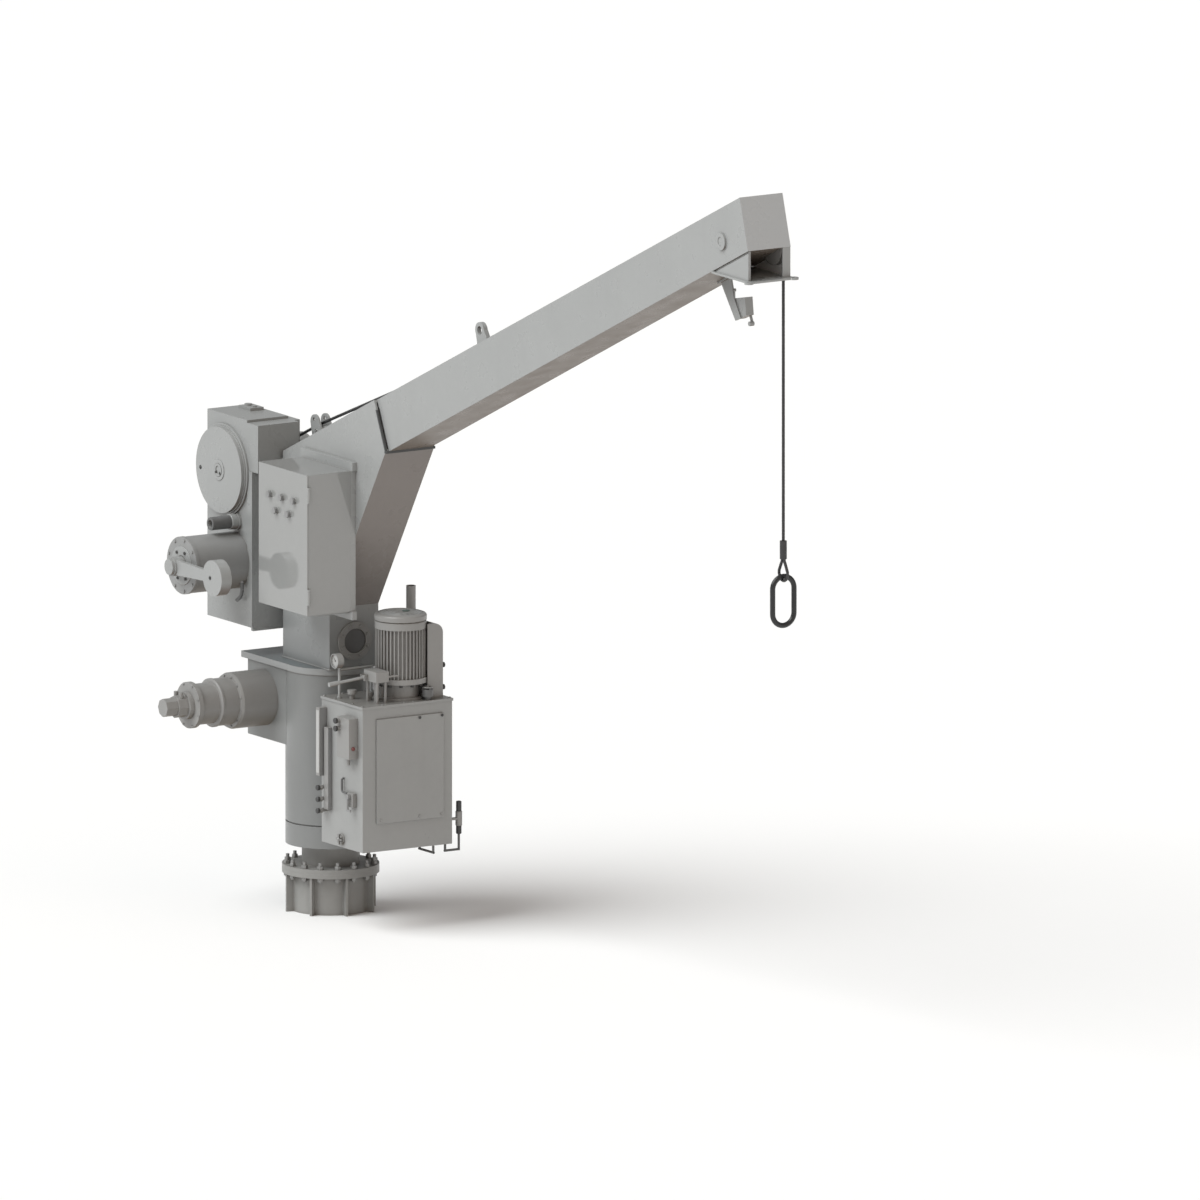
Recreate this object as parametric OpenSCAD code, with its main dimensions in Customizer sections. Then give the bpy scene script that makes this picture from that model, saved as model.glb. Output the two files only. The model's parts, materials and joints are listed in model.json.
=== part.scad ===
// Slewing davit (marine crane): bolted foundation, fixed inner pillar, turning column
// with worm slewing drive, welded post and box boom, wire-rope winch, control cabinet and hydraulic power pack.
// Millimetres. +Z up, +X along the boom, origin at the centre of the foundation's bottom face.

/* [Foundation] */
// Outer radius of the bolted flanges
flange_r = 273; // [266:1:290]
// Radius of the bolt circle
bolt_circle_r = 248; // [246:1:250]
// Outer radius of the foundation tube
stub_r = 222; // [214:1:224]
// Number of foundation bolts
bolt_count = 16; // [12, 16, 20]

/* [Column] */
// Outer radius of the turning column
column_r = 254; // [252:1:258]
// Outer radius of the fixed inner pillar
pillar_r = 162; // [150:1:170]
// Height of the column's lower edge
column_z0 = 383; // [370:1:390]
// Height of the underside of the top plate
column_z1 = 1375; // [1375:1:1376]
// Thickness of the top plate
top_plate_t = 35; // [30:1:40]

/* [Slewing drive] */
// Number of teeth on the worm wheel
wheel_teeth = 47; // [47]
// Centre distance of worm and wheel
worm_dx = 330; // [330]
// Height of the worm axis
worm_z = 1176; // [1170:1:1182]

/* [Post and boom] */
// Half width of the post
post_hw = 160; // [150:1:170]
// Half width of the boom
boom_hw = 140; // [136:1:144]
// Depth of the boom's box section
boom_d = 303; // [296:1:310]
// Plate thickness of post and boom
plate_t = 10; // [8:1:12]
// Length of the boom along its underside
boom_len = 4239; // [4239]
// Angle of the boom above the horizontal
boom_a = 24.32; // [24.32]

/* [Rope and winch] */
// Radius of the wire rope
rope_r = 9; // [8:0.5:9]
// Sideways position of the rope
rope_y = 105; // [100:1:106]
// Radius of the drum to the rope's centre
drum_pr = 108; // [108]
// Radius of the head sheave to the rope's centre
sheave_pr = 100; // [100]

/* [Power pack] */
// Width of the oil tank along the boom
tank_w = 441; // [430:1:450]
// Half length of the oil tank across the boom
tank_hl = 293; // [285:1:295]
// Height of the oil tank's underside
tank_z0 = 471; // [460:1:480]

/* [Hidden] */
$fn = 48;

paint = [0.62, 0.63, 0.63];
paint_dark = [0.5, 0.5, 0.49];
steel = [0.7, 0.7, 0.7];
black = [0.08, 0.08, 0.08];

ct = cos(boom_a);
st = sin(boom_a);
knee = [852, 2748];
tank_x0 = 384;
tank_x1 = tank_x0 + tank_w;
tank_z1 = 1285;
lid_z = 1300;
drum_c = [-631, 2432];
motor_c = [-517, 1935];
sheave_c = [4593, 4486.5];
roller_c = [-261, 2671];
head_roller_c = [4413.6, 4493.8];
cover_c = [4434, 4506];
post_z0 = column_z1 + top_plate_t;
fall_x = sheave_c[0] + sheave_pr;
link_bar = 15;
link_top = 2616;
wheel_pr = 225.6;
worm_pr = worm_dx - wheel_pr;
worm_pitch = 2 * PI * wheel_pr / wheel_teeth;
gear_m = 8;

function loc(s, n) = [knee[0] + s * ct - n * st, knee[1] + s * st + n * ct];
function unit(v) = v / norm(v);
function perp(v) = [-v[1], v[0]];
// a closed outline moved inwards by t, where the outline runs counter-clockwise
function inset(p, t) = [for (i = [0:len(p) - 1])
    let (a = p[(i + len(p) - 1) % len(p)], b = p[i], c = p[(i + 1) % len(p)],
        u = unit(b - a), v = unit(c - b), pu = a + t * perp(u), pv = b + t * perp(v),
        den = u[0] * v[1] - u[1] * v[0], d = pv - pu,
        k = (d[0] * v[1] - d[1] * v[0]) / den)
    pu + k * u];

module boxc(x0, x1, y0, y1, z0, z1) { translate([x0, y0, z0]) cube([x1 - x0, y1 - y0, z1 - z0]); }
module cylz(r, z0, z1, x = 0, y = 0) { translate([x, y, z0]) cylinder(r = r, h = z1 - z0); }
module cyly(r, y0, y1, x, z) { translate([x, y0, z]) rotate([-90, 0, 0]) cylinder(r = r, h = y1 - y0); }
module cylx(r, x0, x1, y, z) { translate([x0, y, z]) rotate([0, 90, 0]) cylinder(r = r, h = x1 - x0); }
module hexz(r, z0, z1, x, y) { translate([x, y, z0]) cylinder(r = r, h = z1 - z0, $fn = 6); }
module hexy(r, y0, y1, x, z) { translate([x, y0, z]) rotate([-90, 0, 0]) cylinder(r = r, h = y1 - y0, $fn = 6); }
module xz(y0, y1) { translate([0, y1, 0]) rotate([90, 0, 0]) linear_extrude(y1 - y0) children(); }
module along_boom() { translate([knee[0], 0, knee[1]]) rotate([0, -boom_a, 0]) children(); }

// a round rod swept along points [x, z] that lie in one upright plane
module rod_xz(pts, y, r, sides = 8) {
    n = len(pts);
    tang = [for (i = [0:n - 1]) unit(pts[min(i + 1, n - 1)] - pts[max(i - 1, 0)])];
    ring = [for (i = [0:n - 1]) for (k = [0:sides - 1])
        let (a = 360 * k / sides, nv = perp(tang[i]))
        [pts[i][0] + r * cos(a) * nv[0], y + r * sin(a), pts[i][1] + r * cos(a) * nv[1]]];
    walls = [for (i = [0:n - 2]) for (k = [0:sides - 1])
        [i * sides + (k + 1) % sides, (i + 1) * sides + (k + 1) % sides, (i + 1) * sides + k, i * sides + k]];
    cap0 = [for (k = [sides - 1:-1:0]) k];
    cap1 = [for (k = [0:sides - 1]) (n - 1) * sides + k];
    polyhedron(points = ring, faces = concat(walls, [cap0], [cap1]), convexity = 6);
}

// spur gear outline with straight-flanked teeth; phase is the angle of one tooth's middle
module gear2d(teeth, m, phase, thin = 0.40) {
    pr = m * teeth / 2;
    ra = pr + 0.9 * m;
    rf = pr - 1.2 * m;
    p = 360 / teeth;
    polygon([for (i = [0:teeth - 1]) for (q = [[rf, -0.32], [pr, -thin / 2 - 0.02], [ra, -0.11], [ra, 0.11], [pr, thin / 2 + 0.02], [rf, 0.32]])
        let (a = phase + i * p + q[1] * p) [q[0] * cos(a), q[0] * sin(a)]]);
}

// ---------- fixed base ----------
module foundation_stub() color(paint_dark) difference() {
    union() {
        cylz(stub_r, 0, 216);
        cylz(flange_r, 215, 240);
        for (i = [0:7]) rotate([0, 0, -11.25 + 45 * i]) boxc(stub_r - 6, flange_r - 7, -7, 7, 0, 216);
    }
    cylz(stub_r - 16, 12, 241);
    for (i = [0:bolt_count - 1]) rotate([0, 0, 360 / bolt_count * i]) cylz(11, 200, 241, bolt_circle_r, 0);
}

module pedestal_pillar() color(paint_dark) difference() {
    union() {
        cylz(flange_r, 240, 265);
        cylz(pillar_r, 240, 1140);
        cylz(120, 1139, 1330);
    }
    cylz(60, 200, 1400);
    cylz(pillar_r - 24, 200, 1100);
    for (i = [0:bolt_count - 1]) rotate([0, 0, 360 / bolt_count * i]) cylz(11, 239, 266, bolt_circle_r, 0);
}

module foundation_bolts() color(steel)
    for (i = [0:bolt_count - 1]) rotate([0, 0, 360 / bolt_count * i]) {
        cylz(10, 190, 303, bolt_circle_r, 0);
        hexz(18, 265, 284, bolt_circle_r, 0);
        hexz(18, 197, 215, bolt_circle_r, 0);
    }

module worm_wheel() color([0.72, 0.55, 0.25]) difference() {
    p = 360 / wheel_teeth;
    m = 9.6;
    translate([0, 0, 1140]) linear_extrude(worm_z + 30 - 1140)
        polygon([for (i = [0:wheel_teeth - 1]) for (q = [[wheel_pr - 11, -0.30], [wheel_pr + 9, -0.10], [wheel_pr + 9, 0.10], [wheel_pr - 11, 0.30]])
            let (a = 180 + (i + 0.5) * p + q[1] * p) [q[0] * cos(a), q[0] * sin(a)]]);
    cylz(120, 1139, worm_z + 31);
}

// ---------- turning column ----------
module slewing_column() color(paint) difference() {
    union() {
        cylz(column_r, 516, column_z1);
        cylz(column_r - 8, 508, 517);
    }
    cylz(column_r - 12, 480, column_z1 + 1);
    boxc(-300, -120, -150, 150, worm_z - 135, worm_z + 135);
}

module column_end_ring() color(paint) difference() {
    cylz(column_r, column_z0, 508);
    cylz(pillar_r + 1.5, column_z0 - 1, 520);
    cylz(column_r - 12, column_z0 + 17, 520);
}

module column_bearings() color(steel) {
    difference() { cylz(column_r - 12.5, column_z0 + 17, 480); cylz(pillar_r + 0.08, 390, 490); }
    difference() { cylz(179.5, 1250, 1312); cylz(120.08, 1240, 1320); }
    difference() { cylz(110, 1330.3, column_z1); cylz(62, 1320, 1380); }
}

module column_top_plate() color(paint) difference() {
    union() {
        cylz(column_r + 8, column_z1, post_z0);
        boxc(-536, 0, -column_r - 6, column_r + 6, column_z1, post_z0);
        cylz(215, 1250, column_z1 + 1);
    }
    cylz(180, 1240, column_z1);
    cylz(60, 1240, 1500);
}

module slewing_gear_housing() color(paint) difference() {
    boxc(-497, -60, -240, 240, 943, column_z1);
    difference() {
        boxc(-485, 0, -228, 228, 955, column_z1 + 1);
    }
    cylz(column_r, 900, 1400);
    cyly(114, -250, -200, -worm_dx, worm_z);
    cyly(60, 200, 250, -worm_dx, worm_z);
}

// left-hand thread: the axial place falls as the angle from +X towards -Z grows
module worm_shaft() color(steel) {
    steps = 20;
    turns = 5.2;
    n = ceil(steps * turns);
    ring = [for (i = [0:n]) let (f = (i / n - 0.5) * turns * 360, y = -worm_pitch * f / 360,
            e = min(1, min(i, n - i) / 6))
        for (q = [[worm_pr - 12, 5.6], [worm_pr - 12 + 21 * e + 0.2, 3.0], [worm_pr - 12 + 21 * e + 0.2, -3.0], [worm_pr - 12, -5.6]])
        [q[0] * cos(f), y + q[1], -q[0] * sin(f)]];
    translate([-worm_dx, 0, worm_z]) union() {
        polyhedron(points = ring, convexity = 10, faces = concat(
            [for (i = [0:n - 1]) for (k = [0:3]) [i * 4 + k, (i + 1) * 4 + k, (i + 1) * 4 + (k + 1) % 4, i * 4 + (k + 1) % 4]],
            [[0, 1, 2, 3]], [[n * 4 + 3, n * 4 + 2, n * 4 + 1, n * 4]]));
        rotate([90, 0, 0]) cylinder(r = worm_pr - 10, h = 190, center = true);
        rotate([90, 0, 0]) cylinder(r = 40, h = 440, center = true);
    }
}

module worm_bearings() color(steel) {
    difference() { cyly(114, -240, -196, -worm_dx, worm_z); cyly(40.08, -250, -190, -worm_dx, worm_z); }
    difference() { cyly(90, 196, 228, -worm_dx, worm_z); cyly(40.08, 190, 230, -worm_dx, worm_z); }
    cyly(60, 228, 240, -worm_dx, worm_z);
    cyly(80, 240, 252, -worm_dx, worm_z);
}

module slewing_gearbox() color(paint_dark) translate([-worm_dx, -240, worm_z]) rotate([90, 0, 0]) difference() {
    rotate_extrude($fn = 72) polygon([[0, 0], [159, 0], [159, 218], [152, 233], [134, 235], [134, 330], [138, 333], [138, 345],
        [130, 350], [116, 352], [116, 465], [131, 468], [131, 495], [60, 497], [0, 497]]);
    translate([0, 0, -1]) cylinder(r = 60, h = 440);
}

module slewing_motor() color(paint_dark) translate([-worm_dx, -737, worm_z]) rotate([90, 0, 0]) {
    cylinder(r = 78, h = 28);
    translate([0, 0, 28]) cylinder(r = 64, h = 60, $fn = 8);
    translate([0, 0, 88]) cylinder(r = 52, h = 75, $fn = 8);
    for (s = [-1, 1]) translate([s * 26, 50, 60]) rotate([-90, 0, 0]) cylinder(r = 13, h = 32);
}

// ---------- post and boom ----------
post_outline = [[-250, post_z0], [250, post_z0], [250, 1762], knee, loc(0, boom_d), [-250, loc(-1072.4, boom_d)[1]]];
module boom_post() color(paint) difference() {
    xz(-post_hw, post_hw) polygon(post_outline);
    xz(-post_hw + plate_t, post_hw - plate_t) polygon(inset(post_outline, plate_t));
    boxc(-250 + plate_t, 250 - plate_t, -post_hw + plate_t, post_hw - plate_t, post_z0 - 1, post_z0 + 20);
    along_boom() boxc(-40, 3, -post_hw + 13, post_hw - 13, 14, boom_d - 14);
    cylx(70, 200, 260, 0, 1565);
}

module access_port_ring() color(paint_dark) difference() {
    union() {
        cylx(108, 250, 264, 0, 1565);
        for (i = [0:7]) translate([264, 0, 1565]) rotate([45 * i + 22.5, 0, 0]) translate([0, 88, 0]) rotate([0, 90, 0]) cylinder(r = 9, h = 7, $fn = 6);
    }
    cylx(70, 254, 280, 0, 1565);
}

module boom() color(paint) along_boom() difference() {
    union() {
        difference() {
            xz(-boom_hw, boom_hw) polygon([[6, 0], [boom_len, 0], [boom_len + 40, boom_d], [0, boom_d], [0, boom_d - 50], [6, boom_d - 50]]);
            xz(-boom_hw + plate_t, boom_hw - plate_t) polygon([[-20, plate_t], [boom_len - 9, plate_t], [boom_len + 29, boom_d - plate_t], [-20, boom_d - plate_t]]);
        }
        // root frame that reaches into the post
        difference() {
            boxc(-140, 160, -boom_hw + plate_t - 1, boom_hw - plate_t + 1, 16, boom_d - 16);
            boxc(-141, 161, -boom_hw + 2 * plate_t, boom_hw - 2 * plate_t, 27, boom_d - 27);
        }
        // inner cheek beside the sheave
        boxc(3990, 4200, 70, 82, plate_t - 1, 110);
    }
    // the rope's way in through the top, and the sheave's slot in the underside
    boxc(1020, 1700, rope_y - 18, rope_y + 18, boom_d - 30, boom_d + 10);
    boxc(boom_len - 234, boom_len - 9, 84, boom_hw - plate_t, -10, plate_t + 5);
    // axle holes
    translate([-knee[0] * ct - knee[1] * st, 0, knee[0] * st - knee[1] * ct]) rotate([0, boom_a, 0]) {
        cyly(25, 60, boom_hw + 10, sheave_c[0], sheave_c[1]);
        cyly(112.5, 82, 126, sheave_c[0], sheave_c[1]);
        cyly(15.08, -boom_hw - 10, boom_hw + 10, head_roller_c[0], head_roller_c[1]);
    }
}

// points of a line n below the boom's underside, at height z and at place x
function at_z(n, z) = [loc(0, -n)[0] + (z - loc(0, -n)[1]) * ct / st, z];
function at_x(n, x) = [x, loc(0, -n)[1] + (x - loc(0, -n)[0]) * st / ct];
module head_bracket() color(paint) difference() {
    tip = loc(boom_len, 0)[0];
    union() {
        // near gusset with its backing strip, far gusset, and the guard in front of the rope
        xz(-boom_hw + 2, -boom_hw + 12) polygon([at_z(13, 4322), [tip, 4322], at_x(13, tip)]);
        xz(-boom_hw + 11, -boom_hw + 22) polygon([at_z(0.08, 4322), [tip - 6, 4322], at_x(0.08, tip - 6)]);
        xz(boom_hw - 13, boom_hw - 2) polygon([at_z(0.08, 4322), [tip, 4322], at_x(0.08, tip)]);
        xz(88, boom_hw - 12) polygon([[4706, 4321], [tip, 4321], at_x(0.08, tip), at_x(0.08, 4706)]);
        boxc(4338, 4745, -boom_hw - 10, boom_hw + 10, 4310, 4322);
        for (s = [-1, 1]) cylz(26, 4310, 4322, 4738, s * (boom_hw + 8));
    }
    cylz(20, 4300, 4321, fall_x, rope_y);
    boxc(fall_x - 20, 4706, rope_y - 20, rope_y + 20, 4300, 4330);
    for (s = [-1, 1]) cylz(9, 4300, 4330, 4738, s * (boom_hw + 8));
}

module lifting_lug() color(paint) along_boom() translate([1100, 0, boom_d]) difference() {
    xz(-56, -30) union() {
        polygon([[-62, 0], [62, 0], [46, 85], [-46, 85]]);
        translate([0, 92]) circle(r = 47);
    }
    cyly(25, -70, -20, 0, 92);
}

module rope_guide_bracket() color(paint) along_boom() difference() {
    union() {
        boxc(-1160, -960, 58, 152, boom_d, boom_d + 15);
        for (y = [66, 134]) xz(y, y + 12) union() {
            polygon([[-1110, boom_d + 14], [-986, boom_d + 14], [-1000, boom_d + 140], [-1090, boom_d + 140]]);
            translate([-1045, boom_d + 136]) circle(r = 45);
        }
    }
    cyly(12.08, 50, 160, -1046, boom_d + 85.3);
    cyly(12, 50, 160, -1045, boom_d + 152);
}

module rollers(c, r, pin_r, y0, y1, p0, p1) { cyly(r, y0, y1, c[0], c[1]); cyly(pin_r, p0, p1, c[0], c[1]); }
module guide_roller() color(steel) { p = loc(-1046, boom_d + 85.3); rollers(p, 30 - 0.3, 12, 80, 132, 62, 150); }
module head_roller() color(steel) rollers(head_roller_c, 19.4, 15, rope_y - 25, rope_y + 22, -boom_hw - 1, boom_hw + 1);
module roller_covers() color(paint) for (t = [-1, 1]) difference() {
    cyly(t < 0 ? 49 : 46, min(t * boom_hw, t * (boom_hw + 12)), max(t * boom_hw, t * (boom_hw + 12)), cover_c[0], cover_c[1]);
    cyly(16, t * boom_hw - 2, t * boom_hw + 2, head_roller_c[0], head_roller_c[1]);
    cyly(26, min(t * (boom_hw + 9), t * (boom_hw + 13)), max(t * (boom_hw + 9), t * (boom_hw + 13)), cover_c[0], cover_c[1]);
}

module head_sheave() color(paint_dark) translate([sheave_c[0], rope_y, sheave_c[1]]) rotate([90, 0, 0])
    rotate_extrude($fn = 72) polygon([[25.08, -18], [110, -18], [110, -14], [99, -9.4], [90, -6], [90, 6], [99, 9.4], [110, 14], [110, 18], [25.08, 18]]);

module head_sheave_pin() color(steel) {
    cyly(25, 70, boom_hw + 12, sheave_c[0], sheave_c[1]);
    cyly(36, boom_hw, boom_hw + 12, sheave_c[0], sheave_c[1]);
}

rope_a = 23.85;
rope_b = 21.18;
roller_lead = loc(-1046, boom_d + 85.3) + (30 + rope_r) * [-sin(rope_b), cos(rope_b)];
sheave_lead = sheave_c + sheave_pr * [-sin(rope_b), cos(rope_b)];
boom_rope_path = concat(
    [for (k = [30:-1:0]) drum_c + drum_pr * [-sin(rope_a + 10.5 * k), cos(rope_a + 10.5 * k)]],
    [loc(-1046, boom_d + 85.3) + (30 + rope_r) * [-sin(rope_a), cos(rope_a)], roller_lead],
    [for (x = [400:800:4000]) [x, roller_lead[1] + (x - roller_lead[0]) * (sheave_lead[1] - roller_lead[1]) / (sheave_lead[0] - roller_lead[0])]],
    [for (k = [0:10]) sheave_c + sheave_pr * [-sin(rope_b - 11.118 * k), cos(rope_b - 11.118 * k)]], [[fall_x, 4450]]);
module boom_rope() color(black) rod_xz(boom_rope_path, rope_y, rope_r - 0.3);

module fall_rope() color(black) cylz(rope_r - 0.3, 2819, 4446, fall_x, rope_y);

eye_c = [fall_x, link_top + 37 - link_bar - 1];
module rope_eye() color(black) {
    cylz(20, 2716, 2819, fall_x, rope_y);
    rod_xz(concat([[fall_x - 10, 2722], [fall_x - 11, 2706], [fall_x - 26, 2680]],
        [for (a = [170:20:370]) eye_c + 46 * [cos(a), sin(a)]],
        [[fall_x + 26, 2680], [fall_x + 11, 2706], [fall_x + 10, 2722]]), rope_y, rope_r - 0.3);
}

// oblong link: two straight bars and two half rings in the Y-Z plane
module suspension_link() color(black) translate([fall_x, rope_y, 0]) {
    w = 70;
    z1 = link_top - w;
    z0 = 2337 + w;
    for (s = [-1, 1]) cylz(link_bar, z0, z1, 0, s * w);
    translate([0, 0, z1]) rotate([90, 0, 90]) rotate_extrude(angle = 180) translate([w, 0]) circle(r = link_bar);
    translate([0, 0, z0]) rotate([90, 180, 90]) rotate_extrude(angle = 180) translate([w, 0]) circle(r = link_bar);
}

sw_p = [4268, 4050];
module limit_switch() color(paint_dark) difference() {
    union() {
        along_boom() boxc(3515, 3645, 60, 120, -10, 0);
        xz(80, 90) polygon([loc(3520, -5), loc(3635, -5), [4203, 4126], [4275, 4022], [4218, 4000]]);
        xz(88, 138) polygon([[4200, 4124], [4308, 4146], [4322, 4045], [4226, 4008]]);
    }
    cyly(5.06, 118, 140, sw_p[0], sw_p[1]);
}
module limit_switch_arm() color(paint_dark) {
    cyly(5, 120, 140, sw_p[0], sw_p[1]);
    cyly(13, 138.5, 150, sw_p[0], sw_p[1]);
    xz(140, 148) polygon([sw_p + [-8, -4], sw_p + [8, 4], sw_p + [38, -56], sw_p + [22, -64]]);
    cyly(13, 122, 150, sw_p[0] + 30, sw_p[1] - 60);
}

// ---------- winch ----------
module winch_frame() color(paint) difference() {
    union() {
        boxc(-266, -250, -post_hw, 230, 2100, 2540);
        boxc(-760, -255, 216, 230, 2310, 2540);
        boxc(-327, -260, -150, -134, 1700, 2461);
        boxc(-327, -260, -40, -24, 1700, 2500);
        boxc(-266, -250, -post_hw, -10, 1700, 2101);
    }
    cyly(35.08, 200, 240, drum_c[0], drum_c[1]);
}

module winch_casing() color(paint) difference() {
    union() {
        boxc(-817, -327, -298, -3, 1574, 2734);
        boxc(-330, -273, -298, -41, 2462, 2734);
    }
    boxc(-805, -339, -299, -15, 1586, 2722);
    cyly(35.08, -20, 0, drum_c[0], drum_c[1]);
    cyly(20.08, -20, 0, idler_c[0], idler_c[1]);
    cyly(25.08, -20, 0, motor_c[0], motor_c[1]);
}

module winch_cover() color(paint) {
    difference() {
        union() {
            boxc(-817, -327, -310, -298, 1574, 2734);
            boxc(-330, -273, -310, -298, 2462, 2734);
            difference() {
                boxc(-379, -327, -317, -309, 1580, 2462);
                cyly(270, -330, -300, drum_c[0], drum_c[1]);
                cyly(161, -330, -300, motor_c[0], motor_c[1]);
            }
        }
        cyly(40, -320, -290, motor_c[0], motor_c[1]);
        cyly(35.08, -320, -290, drum_c[0], drum_c[1]);
        cyly(20.08, -320, -290, idler_c[0], idler_c[1]);
    }
    // top plate with its inspection fitting, and the socket of the emergency crank
    boxc(-817, -392, -310, -40, 2734, 2748);
    boxc(-745, -618, -150, -62, 2748, 2765);
    cylz(22, 2765, 2774, -712, -106);
    cylz(16, 2765, 2772, -650, -106);
    difference() {
        union() {
            cyly(35, -487, -310, idler_c[0], idler_c[1]);
            difference() { cyly(50, -324, -309, idler_c[0], idler_c[1]); cyly(270, -330, -300, drum_c[0], drum_c[1]); }
        }
        cyly(22, -490, -380, idler_c[0], idler_c[1]);
        cyly(20.08, -340, -300, idler_c[0], idler_c[1]);
    }
}

module drum_end_cover() color(paint) difference() {
    union() for (q = [[262, -322, -310], [251, -330, -321], [244, -350, -329], [36, -356, -349]])
        cyly(q[0], q[1], q[2], drum_c[0], drum_c[1]);
    cyly(36, -320, -300, drum_c[0], drum_c[1]);
    cyly(24, -360, -352, drum_c[0], drum_c[1]);
}

gd = drum_c;
r_dg = gear_m * 40 / 2;
r_ig = gear_m * 36 / 2;
r_pg = gear_m * 20 / 2;
// the idler's centre, from the three centre distances
idler_c = let (d = norm(motor_c - gd), a = r_dg + r_ig + 0.4, b = r_ig + r_pg + 0.4, x = (d * d + a * a - b * b) / (2 * d), y = sqrt(max(0, a * a - x * x)), u = unit(motor_c - gd))
    gd + x * u + y * perp(u);
ang_di = atan2(idler_c[1] - gd[1], idler_c[0] - gd[0]);
ang_ip = atan2(motor_c[1] - idler_c[1], motor_c[0] - idler_c[0]);
ph_d = 0;
ph_i = ang_di + 180 - (40 / 36) * (ph_d - ang_di) + 180 / 36;
ph_p = ang_ip + 180 - (36 / 20) * (ph_i - ang_ip) + 180 / 20;

module rope_drum() color(paint_dark) {
    difference() {
        union() {
            cyly(drum_pr - rope_r - 1, 8, 208, drum_c[0], drum_c[1]);
            cyly(165, 8, 20, drum_c[0], drum_c[1]);
            cyly(165, 196, 208, drum_c[0], drum_c[1]);
        }
        cyly(60, 30, 186, drum_c[0], drum_c[1]);
        cyly(35, 0, 250, drum_c[0], drum_c[1]);
    }
    cyly(35, -306, 228, drum_c[0], drum_c[1]);
    // one layer of rope
    for (i = [-4, -3, -2, -1, 1, 2, 3, 4]) translate([drum_c[0], rope_y + 19 * i, drum_c[1]]) rotate([90, 0, 0])
        rotate_extrude($fn = 64) translate([drum_pr - 1, 0]) circle(r = rope_r, $fn = 16);
}
module gear_at(c, teeth, phase, y0, y1, bore) translate([c[0], y1, c[1]]) rotate([90, 0, 0]) difference() {
    linear_extrude(y1 - y0) gear2d(teeth, gear_m, phase);
    translate([0, 0, -1]) cylinder(r = bore, h = y1 - y0 + 2);
}
module drum_gear() color(steel) gear_at(drum_c, 40, ph_d, -120, -80, 35.3);
module idler_gear() color(steel) {
    gear_at(idler_c, 36, ph_i, -120, -80, 19);
    cyly(20, -306, -5, idler_c[0], idler_c[1]);
}
module motor_pinion() color(steel) {
    gear_at(motor_c, 20, ph_p, -124, -76, 20);
    cyly(25, -580, -5, motor_c[0], motor_c[1]);
    cyly(110, -560, -400, motor_c[0], motor_c[1]);
}

module winch_motor() color(paint) {
    difference() {
        union() {
            cyly(160, -640, -310, motor_c[0], motor_c[1]);
            cyly(163, -660, -639, motor_c[0], motor_c[1]);
            for (a = [0:40:320]) translate([motor_c[0], -660, motor_c[1]]) rotate([90, a, 0]) translate([146, 0, 0]) cylinder(r = 9, h = 6, $fn = 6);
        }
        cyly(140, -600, -340, motor_c[0], motor_c[1]);
        cyly(25.08, -345, -300, motor_c[0], motor_c[1]);
    }
    cyly(24, -738, -661, motor_c[0], motor_c[1]);
    // curved guard pipe for the cable
    cylz(10, 1785, 1838, -396, -340);
    translate([-466, -340, 1790]) rotate([90, 0, 0]) rotate([0, 0, -60]) rotate_extrude(angle = 60, $fn = 32) translate([70, 0]) circle(r = 9);
}

// hub, arm and counterweight in one forging; the arm lies level at rest
module brake_lever() color(paint) difference() {
    union() {
        cyly(54, -732, -662, motor_c[0], motor_c[1]); cyly(45, -748, -731, motor_c[0], motor_c[1]);
        cyly(102, -730, -663, motor_c[0] + 439, motor_c[1] + 2);
        xz(-724, -698) polygon([for (q = [[0, -44], [360, -28], [360, 34], [0, 44]]) motor_c + q]);
    }
    cyly(24.08, -739, -650, motor_c[0], motor_c[1]);
}

// ---------- control cabinet ----------
cab = [10, 530, -478, -190, 1792, 2592];
module control_cabinet() color(paint) {
    difference() {
        boxc(cab[0], cab[1], -468, cab[3], cab[4], cab[5]);
        boxc(cab[0] + 6, cab[1] - 6, -480, cab[3] - 6, cab[4] + 6, cab[5] - 6);
    }
    cabinet_hinges();
}
module cabinet_hinges() for (z = [1900, 2480]) {
    cylz(4, z - 45, z + 45, cab[1] + 10, -474);
    for (q = [z - 45, z + 30.5]) {
        cylz(9, q, q + 14.5, cab[1] + 10, -474);
        boxc(cab[1] - 1, cab[1] + 14, -467, -460, q, q + 14.5);
        boxc(cab[1] + 6, cab[1] + 14, -474, -460, q, q + 14.5);
    }
}
button_x = [135, 264, 392, 200, 337];
button_z = [2428, 2428, 2428, 2344, 2344];
module cabinet_door() color(paint) difference() {
    union() {
        boxc(cab[0], cab[1], cab[2], -469, cab[4], cab[5]);
        for (i = [0:4]) cyly(21, -482, cab[2], button_x[i], button_z[i]);
        for (z = [1900, 2480]) {
            cylz(9, z - 30, z + 30, cab[1] + 10, -474);
            boxc(cab[1] - 1, cab[1] + 8, cab[2], -470, z - 20, z + 20);
        }
    }
    for (i = [0:4]) cyly(14.58, -490, -460, button_x[i], button_z[i]);
    for (z = [1900, 2480]) cylz(4.06, z - 31, z + 31, cab[1] + 10, -474);
}
module cabinet_brackets() color(paint) {
    boxc(-14, 544, cab[3], -post_hw, 2592, 2640);
    boxc(-14, 544, cab[3], -post_hw, 1744, 1792);
    boxc(cab[0] + 20, cab[1] - 20, -400, cab[3], 1780, 1792);
    boxc(20, 495, cab[3] + 0, cab[3] + 4, 2560, 2592);
    for (x = [40, 200, 494]) boxc(x, x + (x < 400 ? 50 : 36), cab[3], -post_hw, 1792, 2592);
}
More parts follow.
